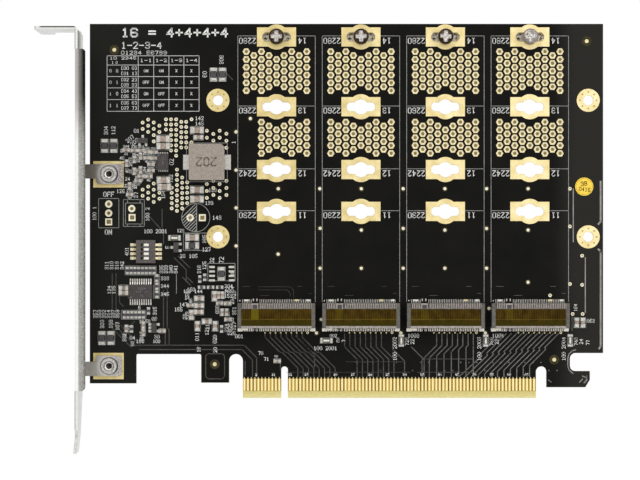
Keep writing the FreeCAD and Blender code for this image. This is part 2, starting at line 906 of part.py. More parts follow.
os.makedirs("parts", exist_ok=True)
save("circuit_board", circuit_board())
save("edge_contacts", *edge_contacts())
save("bracket", bracket())
save("bracket_screws", *[bracket_screw(z) for z in tab_heights])
for number, middle in enumerate(bay_middles, start=1):
    save(f"socket_housing_{number}", socket_housing(middle))
    save(f"socket_contacts_{number}", *socket_contacts(middle))
    save(f"socket_tape_{number}", socket_tape(middle))
save("socket_anchors", *[anchor for middle in bay_middles for anchor in socket_anchors(middle)])
screw_line = module_edge + module_lengths[-1]
save("standoffs", *[standoff(middle, screw_line) for middle in bay_middles])
save("module_screws", *[module_screw(middle, screw_line) for middle in bay_middles])
save("switch_base", switch_base())
save("switch_cover", switch_cover())
save("switch_leads", *switch_leads())
for number, z in enumerate(reversed(slider_rows()), start=1):
    save(f"switch_slider_{number}", switch_slider(z))
save("coil_body", coil_body())
save("coil_terminals", *coil_terminals())
save("controller_chip", flat_body(controller_body))
save("controller_leads", *controller_leads())
save("regulator_chip", flat_body(regulator_body))
save("transistor_bodies", *transistor_bodies())
save("transistor_leads", *transistor_leads())
save_chips("large_capacitors", "large_capacitor_ends", large_chip, large_capacitor_places)
save_chips("ferrite_beads", "ferrite_bead_ends", large_chip, large_bead_places)
save_chips("medium_capacitors", "medium_capacitor_ends", medium_chip, medium_capacitor_places)
save_blocks("resistors", small_chip, resistor_places)
save_blocks("small_capacitors", small_chip, small_capacitor_places)
save_blocks("converter_chips", small_chip, converter_chip_places)
save_chips("status_lights", "status_light_ends", led_chip, led_places)
sticker_face = component_face - sticker_thickness
save("round_sticker", rod(sticker_x, sticker_z, sticker_radius, sticker_face, component_face))
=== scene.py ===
import bpy
import bmesh
import math
from mathutils import Matrix, Vector


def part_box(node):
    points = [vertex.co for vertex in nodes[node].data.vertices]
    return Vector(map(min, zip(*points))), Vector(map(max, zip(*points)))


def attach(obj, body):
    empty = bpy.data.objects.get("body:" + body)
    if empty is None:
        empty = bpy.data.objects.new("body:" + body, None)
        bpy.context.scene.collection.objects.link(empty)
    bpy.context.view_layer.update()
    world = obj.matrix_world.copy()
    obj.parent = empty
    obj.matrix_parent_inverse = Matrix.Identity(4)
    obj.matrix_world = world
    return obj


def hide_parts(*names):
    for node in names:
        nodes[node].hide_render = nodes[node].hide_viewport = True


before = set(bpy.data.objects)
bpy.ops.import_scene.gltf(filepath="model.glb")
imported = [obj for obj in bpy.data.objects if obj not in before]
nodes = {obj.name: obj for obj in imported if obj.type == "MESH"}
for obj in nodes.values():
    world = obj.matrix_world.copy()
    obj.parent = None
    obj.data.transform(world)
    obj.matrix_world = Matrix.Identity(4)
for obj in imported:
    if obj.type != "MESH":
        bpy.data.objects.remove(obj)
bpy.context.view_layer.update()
mm = 0.001
boardLow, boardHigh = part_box("circuit_board")
print("frame loaded:", len(nodes), "nodes")

# Flat work is drawn in millimetres on a sheet: x along the card, y up the board, z out of its face.
sheetTurn = Matrix.Rotation(math.pi / 2, 4, "X") @ Matrix.Scale(mm, 4)
frontSheet = Matrix.Translation((0, boardLow.y, 0)) @ sheetTurn
backSheet = Matrix.Translation((0, boardHigh.y, 0)) @ Matrix.Rotation(math.pi, 4, "Z") @ sheetTurn
bays = [sum(corner.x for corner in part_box(f"socket_tape_{n}")) / 2 / mm for n in (1, 2, 3, 4)]
rows = (103.5, 83.5, 65.5, 53.5)  # heights of the winged slots, longest module first


# Finishes

def colour(code):
    parts = [int(code[i:i + 2], 16) / 255 for i in (1, 3, 5)]
    return [p / 12.92 if p <= 0.04045 else ((p + 0.055) / 1.055) ** 2.4 for p in parts] + [1]


class Signal:
    # A value in a finish's node tree. Arithmetic on it makes math nodes.
    def __init__(self, tree, socket):
        self.tree = tree
        self.socket = socket

    def math(self, operation, *others):
        node = self.tree.nodes.new("ShaderNodeMath")
        node.operation = operation
        for socket, value in zip(node.inputs, (self, *others)):
            feed(socket, value)
        return Signal(self.tree, node.outputs["Value"])

    def __add__(self, other):
        return self.math("ADD", other)

    def __sub__(self, other):
        return self.math("SUBTRACT", other)

    def __mul__(self, other):
        return self.math("MULTIPLY", other)

    def __truediv__(self, other):
        return self.math("DIVIDE", other)

    def __lt__(self, other):
        return self.math("LESS_THAN", other)

    def __gt__(self, other):
        return self.math("GREATER_THAN", other)

    def __abs__(self):
        return self.math("ABSOLUTE")


def feed(socket, value):
    if isinstance(value, Signal):
        value.tree.links.new(value.socket, socket)
    else:
        socket.default_value = colour(value) if isinstance(value, str) else value


def startFinish(name, rough, metal=0.0, gloss=0.5, coat=0.0):
    material = bpy.data.materials.new(name)
    material.use_nodes = True
    tree = material.node_tree
    shader = tree.nodes["Principled BSDF"]
    for socket, value in (("Roughness", rough), ("Metallic", metal), ("Specular IOR Level", gloss),
                          ("Coat Weight", coat)):
        shader.inputs[socket].default_value = value
    place = tree.nodes.new("ShaderNodeTexCoord")
    millimetres = squeezed(Signal(tree, place.outputs["Object"]), (1000, 1000, 1000))
    return material, millimetres


def endFinish(material, tint, rough, height, depth, strength=1.0):
    tree = material.node_tree
    shader = tree.nodes["Principled BSDF"]
    feed(shader.inputs["Base Color"], tint)
    if rough:
        feed(shader.inputs["Roughness"], rough)
    node = tree.nodes.new("ShaderNodeBump")
    node.inputs["Strength"].default_value = strength
    node.inputs["Distance"].default_value = depth * mm
    feed(node.inputs["Height"], height)
    tree.links.new(node.outputs["Normal"], shader.inputs["Normal"])
    return material


def squeezed(where, scale):
    node = where.tree.nodes.new("ShaderNodeMapping")
    node.inputs["Scale"].default_value = scale
    feed(node.inputs["Vector"], where)
    return Signal(where.tree, node.outputs["Vector"])


def noise(where, size, detail=3.0, stretch=None):
    node = where.tree.nodes.new("ShaderNodeTexNoise")
    node.inputs["Scale"].default_value = 1 / size
    node.inputs["Detail"].default_value = detail
    feed(node.inputs["Vector"], squeezed(where, stretch) if stretch else where)
    return Signal(where.tree, node.outputs["Fac"])


def ramp(factor, *stops):
    # The stops are places from 0 to 1, each followed by its tint.
    node = factor.tree.nodes.new("ShaderNodeValToRGB")
    elements = node.color_ramp.elements
    while len(elements) < len(stops) / 2:
        elements.new(0.5)
    for element, at, tint in zip(elements, stops[::2], stops[1::2]):
        element.position = at
        element.color = colour(tint)
    feed(node.inputs["Fac"], factor)
    return Signal(factor.tree, node.outputs["Color"])


def mixed(factor, first, second):
    node = factor.tree.nodes.new("ShaderNodeMix")
    node.data_type = "RGBA"
    feed(node.inputs["Factor"], factor)
    for socket, value in zip([s for s in node.inputs if s.type == "RGBA"], (first, second)):
        feed(socket, value)
    return Signal(factor.tree, [s for s in node.outputs if s.type == "RGBA"][0])


def between(value, start, end):
    # Rises from 0 at start to 1 at end, either of which may be the larger.
    node = value.tree.nodes.new("ShaderNodeMapRange")
    node.interpolation_type = "SMOOTHSTEP"
    node.inputs["From Min"].default_value = start
    node.inputs["From Max"].default_value = end
    feed(node.inputs["Value"], value)
    return Signal(value.tree, node.outputs["Result"])


def axes(where):
    node = where.tree.nodes.new("ShaderNodeSeparateXYZ")
    feed(node.inputs["Vector"], where)
    return [Signal(where.tree, socket) for socket in node.outputs]


def normalAxes(where):
    place = where.tree.nodes.new("ShaderNodeTexCoord")
    return axes(Signal(where.tree, place.outputs["Normal"]))


def surface(name, dark, light, size, smooth, rough, metal, gloss, grain, depth, coat=0.0):
    # A colour that wanders between two tints, a roughness that wanders too, and a fine grain.
    material, where = startFinish(name, smooth, metal, gloss, coat)
    tint = ramp(noise(where, size, 4.0), 0.32, dark, 0.68, light)
    wander = noise(where, size * 0.4, 2.0) * (rough - smooth) + smooth
    return endFinish(material, tint, wander, noise(where, grain, 2.0), depth)


maskLook = {"dark": "#0d0d0b", "light": "#141310", "left": "#1c1c19", "margin": "#262522",
            "laminate": "#8d8350",
            "core": "#3d3a2a", "bevel": "#cdbf76", "bevelLow": "#dfd49c", "bevelTop": 2.0,
            "goldGap": "#5b4d1c",
            "goldGapLight": "#b39a4c", "goldTop": 5.57}


def maskFinish():
    # Black mask on both faces, glass-fibre laminate on the cut edges and along the bevelled tongue.
    material, where = startFinish("mask", 0.38, 0.0, 0.05)
    x, y, z = axes(where)
    mask = ramp(noise(where, 9.0, 4.0), 0.3, maskLook["dark"], 0.7, maskLook["light"])
    mask = mixed(between(x, 76.0, 84.0), mask, maskLook["margin"])
    mask = mixed(between(x, -20.0, -54.0), mask, maskLook["left"])
    bare = ramp(noise(where, 1.6, 2.0, (1, 0.01, 0.05)), 0.42, maskLook["goldGap"], 0.62,
                maskLook["goldGapLight"])
    onTongue = (z < maskLook["goldTop"]) * x.math("COMPARE", 30.0, 42.2)  # the bare strip between the fingers
    mask = mixed(onTongue, mask, bare)
    weave = (y * 22.0).math("SINE")
    fibre = ramp(weave * 0.25 + noise(where, 0.5, 3.0), 0.3, maskLook["core"], 0.8, maskLook["laminate"])
    onEdge = abs(normalAxes(where)[1]) < 0.6
    skin = mixed(onEdge, mask, fibre)
    bevelFibre = ramp(z * -0.25 + noise(where, 1.2, 3.0, (1, 1, 5)), 0.0, maskLook["bevel"], 0.6,
                      maskLook["bevelLow"])
    skin = mixed(z < maskLook["bevelTop"], skin, bevelFibre)
    rough = (noise(where, 3.0, 3.0) * 0.14 + 0.32).math("MAXIMUM", onEdge * 0.8)
    return endFinish(material, skin, rough, noise(where, 0.35, 3.0), 0.006)


# The middles of the two screws that hold the bracket's tabs
screwPlaces = [(-50.22, 64.2), (-50.22, 9.25)]

steelLook = {"dark": "#bdbdba", "light": "#d6d6d3", "spangle": 0.9, "scratch": 0.12, "foot": 104.7,
             "front": -15.05, "blade": -58.96, "lipLow": 2.75, "lipHigh": 99.15, "lipWide": 3.4,
             "lipBack": -13.2,
             "neck": -58.0, "tabFront": -3.4, "collarFoot": -1.75}


def lipTint(where, z, speckle, fromBlade):
    # Painted highlight over the fold, a darker painted reflection on its pitted flat, painted shade at its
    # cut edge, and painted shade over all of it towards the top.
    across = (speckle * 0.5 + fromBlade) / steelLook["lipWide"]
    fold = ramp(across, 0.04, "#8e8e8b", 0.12, "#f4f3f0", 0.33, "#f0efec", 0.44, "#a5a4a0", 0.78, "#93918c",
                0.9, "#514f4a")
    shadedFold = ramp(across, 0.04, "#82807e", 0.12, "#c2bdba", 0.33, "#aca6a3", 0.44, "#75736f", 0.66,
                   "#4f4d48",
                   0.8, "#14120f")
    pits = ramp(noise(where, 0.3, 4.0, (1, 1, 1.8)), 0.4, "#4d4b47", 0.52, "#a8a6a1", 0.64, "#d6d5d2")
    fold = mixed(between(fromBlade, 1.2, 1.6) * 0.34, fold, pits)
    return mixed(between(z, 70.0, 88.0), fold, shadedFold)


def tabTint(where, x, z, speckle):
    # Brown-grey at the neck, paler and speckled towards the screw, where a painted highlight rings the collar
    # except on its right side, gritty at the free end.
    tab = ramp(speckle * 0.24 + (x + 58.0) / 14.0, 0.1, "#57504a", 0.38, "#6d6660", 0.52, "#918c89", 0.8,
               "#a39d9f",
               1.0, "#7d7676")
    tab = mixed((z < 30.0) * 0.3, tab, "#d6d8ce")  # the lower tab is paler
    upright = abs(z - screwPlaces[0][1]).math("MINIMUM", abs(z - screwPlaces[1][1]))
    across = x - screwPlaces[0][0]
    reach = (upright * upright + across * across).math("SQRT")
    sheen = between(speckle * 1.2 + reach, 4.6, 3.2) * between(across, 2.4, 0.6)
    tab = mixed(sheen * 0.45, tab, "#cfcdca")
    grit = ramp(noise(where, 0.32, 4.0), 0.38, "#4f4a4a", 0.5, "#938e8d", 0.62, "#d3cfc8")
    return mixed(between(x, -52.0, -47.6) * 0.55, tab, grit)


def steelFinish():
    # Plated sheet: small crystal patches, a drawn grain, painted highlight and shade on the fold, and gritty
    # tabs with painted light round their collars.
    material, where = startFinish("steel", 0.34, 0.9)
    x, y, z = axes(where)
    cells = where.tree.nodes.new("ShaderNodeTexVoronoi")
    cells.inputs["Scale"].default_value = 1 / steelLook["spangle"]
    feed(cells.inputs["Vector"], where)
    patch = axes(Signal(where.tree, cells.outputs["Color"]))[0] * 0.35
    speckle = noise(where, 0.35, 4.0)
    sheet = ramp(noise(where, 5.0, 5.0) * 0.55 + patch, 0.2, steelLook["dark"], 0.7, steelLook["light"])
    fromBlade = x - steelLook["blade"]
    onLip = (z > steelLook["lipLow"]) * (z < steelLook["lipHigh"]) * (y < steelLook["lipBack"])
    sheet = mixed(onLip, sheet, lipTint(where, z, speckle, fromBlade))

    # The cut edges that face forwards, outside the lip, with painted light: paler away from the blade, and on
    # the foot a painted highlight along its lower strip with painted shade above it, except at its left end
    cutEdge = ramp(speckle * 0.3 + fromBlade * 0.9, 0.1, "#9c9b97", 0.35, "#bcbbb8", 0.7, "#e0dfdc")
    foot = steelLook["foot"]
    topLine = between(z, foot + 0.35, foot + 0.6) * between(x, -69.2, -68.2)
    cutEdge = mixed(z > foot, cutEdge, mixed(topLine, "#d3d2cf", "#4a4844"))
    sheet = mixed((y < steelLook["front"]) * (onLip * -1.0 + 1.0), sheet, cutEdge)

    # The tabs and their collars, with painted shade on the collars' far flank
    onTab = (y > steelLook["tabFront"]) * (x > steelLook["neck"]) * (y < 0.0)
    sheet = mixed(onTab, sheet, tabTint(where, x, z, speckle))
    collar = onTab * (y < steelLook["collarFoot"])
    sheet = mixed(collar, sheet, ramp(speckle, 0.3, "#7c7975", 0.6, "#cfccc7"))
    sheet = mixed(collar * between(normalAxes(where)[0], 0.25, 0.8), sheet, "#5f5a60")
    grain = noise(where, steelLook["scratch"], 3.0, (1, 1, 0.06))
    return endFinish(material, sheet, grain * 0.2 + (patch * 0.2 + 0.24), grain + speckle * 0.6, 0.008, 0.6)


tapeLook = {"dark": "#241a03", "light": "#4b380a", "olive": "#332f05", "pane": "#6e6610",
            "seamTint": "#80722c",
            "streak": "#6d5c1c",
            "rib": 0.5, "paneLeft": -7.0, "paneRight": -5.2, "seam": 22.65}


def tapeFinish():
    # Amber film: the socket's ribs show through it, and it is greener over the key and below its seam.
    material, where = startFinish("tape", 0.3, 0.0, 0.04)
    x, y, z = axes(where)
    seam, left, right = tapeLook["seam"], tapeLook["paneLeft"], tapeLook["paneRight"]
    ribs = (x * (2 * math.pi / tapeLook["rib"])).math("SINE")
    faint = ribs * 0.2 + noise(where, 1.6, 3.0, (1, 1, 0.6))
    film = ramp(faint, 0.25, tapeLook["dark"], 0.8, tapeLook["light"])
    film = mixed(between(z, seam, 21.6) * 0.75, film, tapeLook["olive"])
    streak = between(ribs, 0.55, 1.0) * between(noise(where, 2.0, 2.0), 0.45, 0.65) * between(z, seam, 23.4)
    film = mixed(streak * 0.45, film, tapeLook["streak"])
    half = (bays[1] - bays[0]) / 2
    fromBay = (x - bays[0]).math("WRAP", half, -half)
    pane = between(fromBay, left - 0.3, left) * between(fromBay, right + 0.3, right)
    pane = pane * between(z, seam - 0.3, seam + 0.2)
    clear = (x < bays[0] + half) * 0.4 + 0.15  # plainest in the first bay
    film = mixed(pane * clear, film, tapeLook["pane"])
    line = z.math("COMPARE", seam, 0.12) * noise(where, 3.0, 2.0, (1, 1, 0.1))
    film = mixed(line * 0.5, film, tapeLook["seamTint"])
    rough = noise(where, 1.5, 2.0) * 0.16 + 0.24
    return endFinish(material, film, rough, ribs * 0.3 + noise(where, 1.4, 2.0), 0.01, 0.6)


def padFinish():
    # Dull plated gold, a little paler towards the far end of the card.
    material, where = startFinish("gold", 0.45, 0.75)
    cloud = noise(where, 2.5, 4.0)
    near = ramp(cloud, 0.3, "#c2ae74", 0.7, "#dccb93")
    far = ramp(cloud, 0.3, "#dac78d", 0.7, "#efdfae")
    rough = noise(where, 1.0, 2.0) * 0.16 + 0.38
    tint = mixed(between(axes(where)[0], -20.0, 80.0), near, far)
    return endFinish(material, tint, rough, noise(where, 0.08, 2.0), 0.006)


def fingerFinish():
    # Hard gold with painted sheen: pale down the middle of each finger, deeper at its sides.
    material, where = startFinish("finger", 0.34, 0.8)
    fromMiddle = abs(axes(where)[0].math("FRACT") - 0.5)
    sheen = noise(where, 0.6, 3.0, (1, 1, 0.3)) * 0.12 + fromMiddle
    tint = ramp(sheen, 0.08, "#fbedbf", 0.24, "#e9cf86", 0.4, "#c9a64c")
    rough = noise(where, 0.8, 2.0) * 0.16 + 0.26
    return endFinish(material, tint, rough, noise(where, 0.1, 2.0, (1, 1, 0.15)), 0.005)


def traceFinish():
    # Copper under the mask, paler towards the far end of the card.
    material, where = startFinish("trace", 0.4, 0.0, 0.2)
    cloud = noise(where, 1.2, 4.0)
    near = ramp(cloud, 0.3, "#343330", 0.7, "#4e4c48")
    far = ramp(cloud, 0.3, "#555450", 0.7, "#787670")
    tint = mixed(between(axes(where)[0], 20.0, 66.0), near, far)
    return endFinish(material, tint, None, noise(where, 0.1, 2.0), 0.002)


def screwFinish():
    # Nickel, dark as a painted reflection, and paler on the last bay's screw.
    material, where = startFinish("screw", 0.3, 0.9)
    cloud = noise(where, 0.5, 4.0)
    dark = ramp(cloud, 0.32, "#1d140d", 0.68, "#3d3128")
    pale = ramp(cloud, 0.32, "#67605b", 0.68, "#99928c")
    tint = mixed(axes(where)[0] > bays[3] - 5.0, dark, pale)
    return endFinish(material, tint, None, noise(where, 0.1, 2.0), 0.006)


# The plain finishes: two tints, the size of their patches, roughness from and to, metal, gloss, the size
# and depth of the grain, and a clear coat.
plainLooks = {
    "edgeCopper": ("#7c7974", "#9a9690", 1.5, 0.35, 0.45, 0.0, 0.2, 0.1, 0.002),
    "ink": ("#c9c9c4", "#e4e4df", 0.6, 0.5, 0.7, 0.0, 0.3, 0.1, 0.003),
    "fadedInk": ("#7b7b77", "#9d9d98", 0.6, 0.5, 0.7, 0.0, 0.3, 0.1, 0.003),
    "cream": ("#c9bb8f", "#e1d5ad", 0.8, 0.34, 0.48, 0.65, 0.5, 0.08, 0.006),
    "viaTin": ("#cfc7ab", "#eee7d0", 0.8, 0.34, 0.48, 0.65, 0.5, 0.08, 0.006),
    "plug": ("#5f5434", "#83764c", 0.3, 0.5, 0.65, 0.2, 0.5, 0.1, 0.004),
    "halo": ("#2c2917", "#413c24", 0.8, 0.5, 0.7, 0.0, 0.1, 0.1, 0.004),
    "ringVia": ("#8d7c4f", "#a8986a", 0.3, 0.4, 0.55, 0.3, 0.5, 0.1, 0.004),
    "tin": ("#a09e99", "#d6d3cb", 0.35, 0.25, 0.45, 0.8, 0.5, 0.07, 0.008),
    "solder": ("#a9a7a2", "#dedbd3", 0.4, 0.25, 0.42, 0.7, 0.5, 0.2, 0.012),
    "brightTin": ("#cdc8bb", "#f6f2e8", 0.3, 0.3, 0.45, 0.6, 0.5, 0.07, 0.008),
    "paleEdge": ("#857c77", "#a89f99", 0.7, 0.45, 0.6, 0.0, 0.3, 0.08, 0.006),
    "plastic": ("#4f4c46", "#65625c", 0.7, 0.45, 0.6, 0.0, 0.3, 0.08, 0.006),
    "switch": ("#413d3e", "#5e5853", 0.5, 0.45, 0.6, 0.0, 0.3, 0.08, 0.006),
    "slider": ("#d9d6cd", "#efece4", 0.5, 0.4, 0.55, 0.0, 0.4, 0.1, 0.003),
    "leadGold": ("#c9b98d", "#eadfbd", 0.6, 0.28, 0.42, 0.75, 0.5, 0.1, 0.006),
    "coil": ("#867b71", "#a1968c", 0.35, 0.55, 0.7, 0.0, 0.35, 0.12, 0.02),
    "epoxy": ("#2f2c2a", "#403c39", 0.7, 0.5, 0.65, 0.0, 0.35, 0.06, 0.006),
    "ceramic": ("#7d7066", "#ab9a8c", 0.6, 0.4, 0.55, 0.0, 0.45, 0.1, 0.005),
    "bead": ("#2c2a2b", "#464344", 0.4, 0.4, 0.55, 0.0, 0.4, 0.1, 0.005),
    "glaze": ("#262527", "#4a484a", 0.4, 0.3, 0.45, 0.0, 0.5, 0.1, 0.004),
    "lamp": ("#4c4a45", "#6a675f", 0.5, 0.18, 0.3, 0.0, 0.4, 0.1, 0.004, 0.3),
    "glow": ("#cdc9bd", "#f3f0e6", 0.5, 0.3, 0.4, 0.0, 0.4, 0.1, 0.004),
    "screwHead": ("#a8a49f", "#d8d5cf", 0.5, 0.25, 0.4, 0.9, 0.5, 0.1, 0.006),
    # The module screws' cross in this bright tint is a painted highlight against their dark heads.
    "recess": ("#6c6561", "#f2ede7", 0.28, 0.25, 0.4, 0.85, 0.5, 0.16, 0.02),
    # Dark for the screw threads, and painted shade in the bracket screws' tip cup.
    "shadedThread": ("#242220", "#3c3a37", 0.5, 0.35, 0.5, 0.8, 0.5, 0.1, 0.006),
    "nut": ("#968d7c", "#cabfa8", 0.9, 0.26, 0.42, 0.85, 0.5, 0.1, 0.006),
    "label": ("#ecc238", "#f8d550", 0.7, 0.5, 0.65, 0.0, 0.35, 0.05, 0.006),
    "labelInk": ("#55431a", "#6d5623", 0.4, 0.5, 0.6, 0.0, 0.3, 0.1, 0.002),
    "laserMark": ("#6d676b", "#857e82", 0.3, 0.6, 0.75, 0.0, 0.2, 0.1, 0.003),
    "coilMark": ("#6c615a", "#7c7068", 0.3, 0.6, 0.75, 0.0, 0.2, 0.1, 0.003),
}
finishes = {"mask": maskFinish(), "steel": steelFinish(), "tape": tapeFinish(), "trace": traceFinish(),
            "gold": padFinish(), "finger": fingerFinish(), "screw": screwFinish()}
for name, look in plainLooks.items():
    finishes[name] = surface(name, *look)
print("finishes made:", len(finishes))

nodeFinish = {
    "mask": "circuit_board", "finger": "edge_contacts", "steel": "bracket", "nut": "standoffs",
    "switch": "switch_base switch_cover", "leadGold": "switch_leads", "coil": "coil_body",
    "epoxy": "controller_chip regulator_chip transistor_bodies",
    "ceramic": "large_capacitors medium_capacitors",
    "tin": "coil_terminals controller_leads transistor_leads large_capacitor_ends ferrite_bead_ends "
           "medium_capacitor_ends status_light_ends",
    "bead": "ferrite_beads", "lamp": "status_lights", "label": "round_sticker",
    "plastic": "socket_housing_1 socket_housing_2 socket_housing_3 socket_housing_4",
    "brightTin": "socket_anchors socket_contacts_1 socket_contacts_2 socket_contacts_3 socket_contacts_4",
    "tape": "socket_tape_1 socket_tape_2 socket_tape_3 socket_tape_4",
    "slider": "switch_slider_1 switch_slider_2 switch_slider_3 switch_slider_4",
}
for finish, names in nodeFinish.items():
    for name in names.split():
        for holder in nodes[name].material_slots:
            holder.material = finishes[finish]


# Making shapes

inkLook = {"low": -0.004, "high": 0.022, "thin": 0.15, "fine": 0.12}
sunk = -0.005  # flat work starts this far inside the board, so that no gap shows under it


def paint(verts, slot):
    for vert in verts:
        for face in vert.link_faces:
            face.material_index = slot


def addBox(bm, xLow, xHigh, yLow, yHigh, zLow, zHigh, slot=0, turn=0.0, bevel=0.0):
    middle = ((xLow + xHigh) / 2, (yLow + yHigh) / 2, (zLow + zHigh) / 2)
    size = Matrix.Diagonal((xHigh - xLow, yHigh - yLow, zHigh - zLow, 1))
    place = Matrix.Translation(middle) @ Matrix.Rotation(turn, 4, "Z") @ size
    made = bmesh.ops.create_cube(bm, size=1, matrix=place)["verts"]
    paint(made, slot)
    if bevel:
        edges = list({edge for vert in made for edge in vert.link_edges})
        bmesh.ops.bevel(bm, geom=edges, offset=bevel, offset_type="OFFSET", segments=1, profile=0.5,
                        affect="EDGES", material=-1)
    return made


def addBar(bm, x, wide, yLow, yHigh, low, high, slot=0, bevel=0.0):
    return addBox(bm, x - wide / 2, x + wide / 2, yLow, yHigh, low, high, slot, 0.0, bevel)


def addLine(bm, points, width=inkLook["thin"], low=inkLook["low"], high=inkLook["high"], slot=0):
    # A run of straight strokes, each long enough to close the corner with the next.
    for (x0, y0), (x1, y1) in zip(points, points[1:]):
        length = math.hypot(x1 - x0, y1 - y0) + width
        x, y = (x0 + x1) / 2, (y0 + y1) / 2
        addBox(bm, x - length / 2, x + length / 2, y - width / 2, y + width / 2, low, high, slot,
               math.atan2(y1 - y0, x1 - x0))


def addFrame(bm, xLow, xHigh, yLow, yHigh):
    addLine(bm, [(xLow, yLow), (xHigh, yLow), (xHigh, yHigh), (xLow, yHigh), (xLow, yLow)])


def addDisc(bm, x, y, radius, low, high, segments=20, slot=0):
    place = Matrix.Translation((x, y, (low + high) / 2))
    made = bmesh.ops.create_cone(bm, cap_ends=True, segments=segments, radius1=radius, radius2=radius,
                                 depth=high - low, matrix=place)["verts"]
    paint(made, slot)


def addRing(bm, x, y, inner, outer, low, high, segments=32, slot=0):
    made = []
    for radius in (inner, outer):
        made += bmesh.ops.create_circle(bm, cap_ends=False, segments=segments, radius=radius,
                                        matrix=Matrix.Translation((x, y, low)))["verts"]
    edges = list({edge for vert in made for edge in vert.link_edges})
    flat = bmesh.ops.bridge_loops(bm, edges=edges)["faces"]
    raised = bmesh.ops.extrude_face_region(bm, geom=flat)["geom"]
    top = [item for item in raised if isinstance(item, bmesh.types.BMVert)]
    bmesh.ops.translate(bm, vec=(0, 0, high - low), verts=top)
    paint(made + top, slot)


def addMesh(bm, mesh, place, slot=None):
    mesh.transform(place)
    before = len(bm.faces)
    bm.from_mesh(mesh)
    bpy.data.meshes.remove(mesh)
    if slot is not None:
        bm.faces.ensure_lookup_table()
        for face in bm.faces[before:]:
            face.material_index = slot


def addStamp(bm, unit, x, y, turn=0.0, z=0.0):
    addMesh(bm, unit.copy(), Matrix.Translation((x, y, z)) @ Matrix.Rotation(turn, 4, "Z"))


def addShape(bm, loops, low, high, slot=0, x=0.0, y=0.0):
    # A flat plate inside the first loop, with the other loops cut out of it.
    curve = bpy.data.curves.new("plate", "CURVE")
    curve.dimensions = "2D"
    curve.fill_mode = "BOTH"
    curve.extrude = (high - low) / 2
    for loop in loops:
        spline = curve.splines.new("POLY")
        spline.points.add(len(loop) - 1)
        for point, (px, py) in zip(spline.points, loop):
            point.co = (px, py, 0, 1)
        spline.use_cyclic_u = True
    holder = bpy.data.objects.new("plate", curve)
    mesh = bpy.data.meshes.new_from_object(holder)
    bpy.data.objects.remove(holder)
    bpy.data.curves.remove(curve)
    addMesh(bm, mesh, Matrix.Translation((x, y, (low + high) / 2)), slot)


# One pen stroke after another for each figure, on a grid four wide and six high
penStrokes = {
    "0": "05 16 36 45 41 30 10 01 05", "1": "15 26 20/10 30", "2": "05 16 36 45 44 00 40",
    "3": "05 16 36 45 44 33 42 41 30 10 01/33 13",
    "4": "30 36 02 42", "5": "46 06 03 33 42 41 30 10 01", "6": "45 36 16 05 01 10 30 41 42 33 03",
    "7": "06 46 20",
    "8": "13 04 05 16 36 45 44 33 13 02 01 10 30 41 42 33", "9": "01 10 30 41 45 36 16 05 04 13 43",
    "O": "05 16 36 45 41 30 10 01 05", "N": "00 06 40 46", "F": "00 06 46/03 33", "X": "00 46/06 40",
    "+": "21 25/03 43", "=": "02 42/04 44", "-": "03 43", "[": "36 16 10 30", "]": "16 36 30 10",
}


def addText(bm, words, x, y, height, turn=0.0, width=None, pen=0.15, low=inkLook["low"],
            high=inkLook["high"]):
    # Plain figures drawn with one pen, exactly as high as asked.
    up = (height - pen) / 6
    spaces = 6 * len(words) - 2
    across = (width - pen) / spaces if width else up * 0.85
    place = Matrix.Translation((x, y, 0)) @ Matrix.Rotation(math.radians(turn), 4, "Z")
    for number, letter in enumerate(words):
        for stroke in penStrokes.get(letter, "").split("/"):
            spots = [place @ Vector(((6 * number + int(at[0]) - spaces / 2) * across, (int(at[1]) - 3) * up,
                                     0))
                     for at in stroke.split()]
            addLine(bm, [spot.xy for spot in spots], pen, low, high)


def arc(x, y, radius, start, end, steps):
    turns = [math.radians(start + (end - start) * step / steps) for step in range(steps + 1)]
    return [(x + radius * math.cos(turn), y + radius * math.sin(turn)) for turn in turns]


def meshFrom(bm, name):
    mesh = bpy.data.meshes.new(name)
    bm.to_mesh(mesh)
    bm.free()
    return mesh


def linked(name, data, at=(0, 0, 0)):
    holder = bpy.data.objects.new(name, data)
    holder.location = at
    bpy.context.scene.collection.objects.link(holder)
    return holder


def placed(name, bm, materials, sheet=frontSheet, body="card", tidy=True):
    if tidy:
        bmesh.ops.recalc_face_normals(bm, faces=bm.faces)
    bmesh.ops.transform(bm, matrix=sheet, verts=bm.verts)
    mesh = meshFrom(bm, name)
    for finish in materials:
        mesh.materials.append(finishes[finish])
    piece = linked(name, mesh)
    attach(piece, body)
    print(f"{name}: {len(mesh.polygons)} faces")
    return piece


def middleOf(box):
    return (box[0] + box[1]) / 2, (box[2] + box[3]) / 2


def solidBoxes(name):
    # The box of each solid of a node, on the front sheet: x low, x high, y low, y high, z low, z high.
    bm = bmesh.new()
    bm.from_mesh(nodes[name].data)
    bmesh.ops.remove_doubles(bm, verts=bm.verts, dist=1e-7)
    left = set(bm.verts)
    boxes = []
    while left:
        stack = [left.pop()]
        group = []
        while stack:
            vert = stack.pop()
            group.append(vert.co / mm)
            for edge in vert.link_edges:
                other = edge.other_vert(vert)
                if other in left:
                    left.remove(other)
                    stack.append(other)
        low = [min(co[i] for co in group) for i in range(3)]
        high = [max(co[i] for co in group) for i in range(3)]
        face = boardLow.y / mm
        boxes.append((low[0], high[0], low[2], high[2], face - high[1], face - low[1]))
    bm.free()
    return sorted(boxes)


# Gold on the board

padLook = {"long": 11.2, "tall": 5.5, "round": 3.6, "rise": 0.035, "slotLong": 8.15, "slotTall": 2.6,
           "slotRound": 2.2, "slotCut": 0.76, "plating": 0.03}


